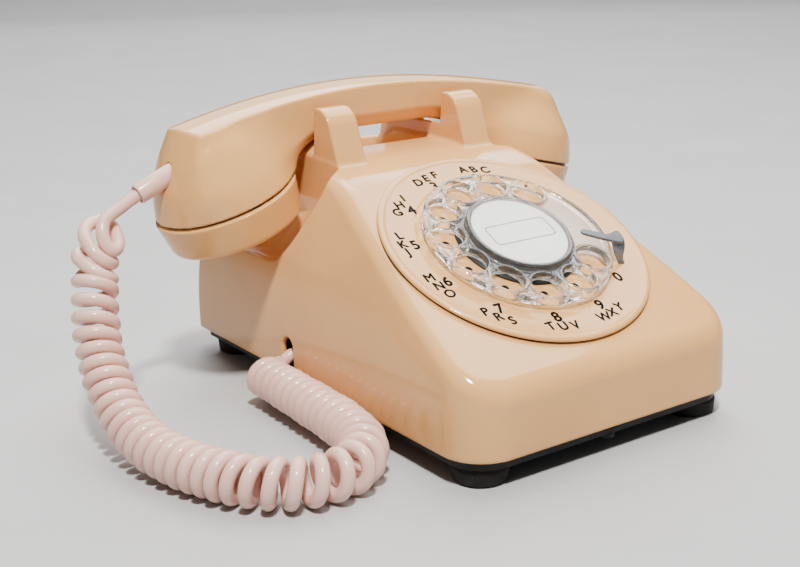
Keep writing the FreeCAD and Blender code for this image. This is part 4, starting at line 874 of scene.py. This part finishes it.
LETTERS = {2: "ABC", 3: "DEF", 4: "GHI", 5: "JKL", 6: "MNO", 7: "PRS", 8: "TUV", 9: "WXY"}
digits, letters, dots = [], [], []
for i, a in enumerate(HOLES):
    digit = (i + 1) % 10
    digits.append(glyph("digit", str(digit), 7.2, 43.6 * math.cos(a) - 0.8, 43.6 * math.sin(a) - 0.3, 0.40, 0.23))
    word = LETTERS.get(digit, "")
    for j, ch in enumerate(word):
        # Letters read left to right along the arc, whichever side of the dial they are on.
        away = 1.0 if math.sin(a) < 0 else -1.0
        b = a + away * math.radians(6.2) * (j - 1)
        letters.append(glyph("letter", ch, 6.0, 49.2 * math.cos(b), 49.2 * math.sin(b), 0.40, 0.21))
    q = 2.0 * math.pi * np.arange(28) / 28
    spot = np.array([(HOLE_CIRCLE - 0.4) * math.cos(a), (HOLE_CIRCLE - 0.4) * math.sin(a)])
    top = np.column_stack([spot[0] + 1.7 * np.cos(q), spot[1] + 1.7 * np.sin(q), np.full(28, 0.07)])
    low = top - np.array([0.0, 0.0, 0.06])
    dots.append((np.concatenate([top, low]), [tuple(range(28)), tuple(range(55, 27, -1))]
                 + [(28 + k, 28 + (k + 1) % 28, (k + 1) % 28, k) for k in range(28)]))
legend("dial_digits", digits)
legend("dial_letters", letters)
legend("dial_aim_dots", dots)

# Finger stop: a flat metal bar over the wheel, with a leg bent down from its edge to the plate.
STOP_BAR = [(23.3, -11.6), (23.2, -10.6), (23.8, -9.5), (25.0, -8.9), (31.2, -13.1), (33.2, -14.3), (34.8, -14.7), (36.4, -14.4),
            (38.0, -13.9), (39.6, -13.9), (40.5, -14.6), (40.2, -16.6), (39.4, -19.2), (38.6, -20.5), (37.4, -21.1), (36.2, -20.8),
            (29.85, -16.75)]
STOP_LEG = [((33.0, -18.6, 9.1), (38.4, -19.6, 9.1)), ((33.1, -19.5, 8.8), (38.9, -20.3, 8.8)), ((33.2, -20.4, 7.6), (39.1, -21.1, 7.6)),
            ((33.9, -21.2, 5.8), (38.7, -22.2, 5.8)), ((34.8, -21.9, 3.9), (38.4, -22.9, 3.9)), ((35.9, -22.7, 2.0), (38.8, -23.4, 2.0)),
            ((36.8, -23.6, 0.9), (39.5, -24.0, 0.9)), ((36.9, -23.8, 0.45), (39.7, -24.2, 0.45))]


def finger_stop():
    verts, faces = [], []
    n = len(STOP_BAR)
    verts += [np.array([u, v, 9.6]) for u, v in STOP_BAR] + [np.array([u, v, 8.5]) for u, v in STOP_BAR]
    faces += [tuple(range(n - 1, -1, -1)), tuple(range(n, 2 * n))]
    faces += [(i, (i + 1) % n, n + (i + 1) % n, n + i) for i in range(n)]
    left = np.array([p[0] for p in STOP_LEG], float)
    right_edge = np.array([p[1] for p in STOP_LEG], float)
    face = np.cross(np.gradient(0.5 * (left + right_edge), axis=0), right_edge - left)
    face *= 0.5 / np.linalg.norm(face, axis=1)[:, None]
    base = len(verts)
    for a, b, f in zip(left, right_edge, face):
        verts += [a + f, b + f, b - f, a - f]
    for i in range(len(left) - 1):
        for k in range(4):
            j = (k + 1) % 4
            faces.append((base + i * 4 + k, base + (i + 1) * 4 + k, base + (i + 1) * 4 + j, base + i * 4 + j))
    last = base + (len(left) - 1) * 4
    faces += [(base, base + 1, base + 2, base + 3), (last + 3, last + 2, last + 1, last)]
    obj = mesh_object("finger_stop_bent", on_dial(np.array(verts)), faces, smooth=False)
    soft = obj.modifiers.new("round", "BEVEL")
    soft.width = 0.00025
    soft.segments = 3
    soft.limit_method = "ANGLE"
    soft.angle_limit = math.radians(40.0)
    paint(obj, stop_steel)
    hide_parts("finger_stop")
    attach(obj, "base")
    return obj


finger_stop()

# ------------------------------------------------------------------ floor and light
floor = mesh_object("floor", [(-4000.0, -4000.0, 0.0), (4000.0, -4000.0, 0.0), (4000.0, 4000.0, 0.0), (-4000.0, 4000.0, 0.0)],
                    [(0, 1, 2, 3)], smooth=False)
paint(floor, floor_finish)
floor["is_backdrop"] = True

world = bpy.data.worlds.new("studio")
scene.world = world
world.use_nodes = True
back = world.node_tree.nodes["Background"]
back.inputs["Color"].default_value = (0.95, 0.97, 1.0, 1.0)
back.inputs["Strength"].default_value = 0.13


def lamp(name, at, aim, size, power, tint=(1.0, 1.0, 1.0)):
    data = bpy.data.lights.new(name, "AREA")
    data.shape = "RECTANGLE"
    data.size, data.size_y = size
    data.energy = power
    data.color = tint
    obj = link(bpy.data.objects.new(name, data))
    obj.location = at
    obj.rotation_mode = "QUATERNION"
    obj.rotation_quaternion = (Vector(aim) - Vector(at)).to_track_quat("-Z", "Y")
    return obj


lamp("key", (-0.40, -0.64, 1.40), (0.0, 0.0, 0.06), (0.16, 0.16), 43.0, (1.0, 0.98, 0.95))
lamp("overhead", (0.34, 0.24, 1.30), (0.0, -0.03, 0.07), (1.0, 1.1), 22.0, (1.0, 0.99, 0.98))
lamp("rear", (1.05, 1.55, 0.95), (0.0, 0.05, 0.10), (2.4, 1.2), 14.0, (0.99, 0.99, 1.0))
lamp("far", (1.2, 2.3, 2.0), (1.2, 2.2, 0.0), (2.2, 2.2), 70.0, (0.99, 0.99, 1.0))

# ------------------------------------------------------------------ bounds of the built scene
made_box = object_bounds()
made_box = [list(map(float, made_box[0])), list(map(float, made_box[1]))]
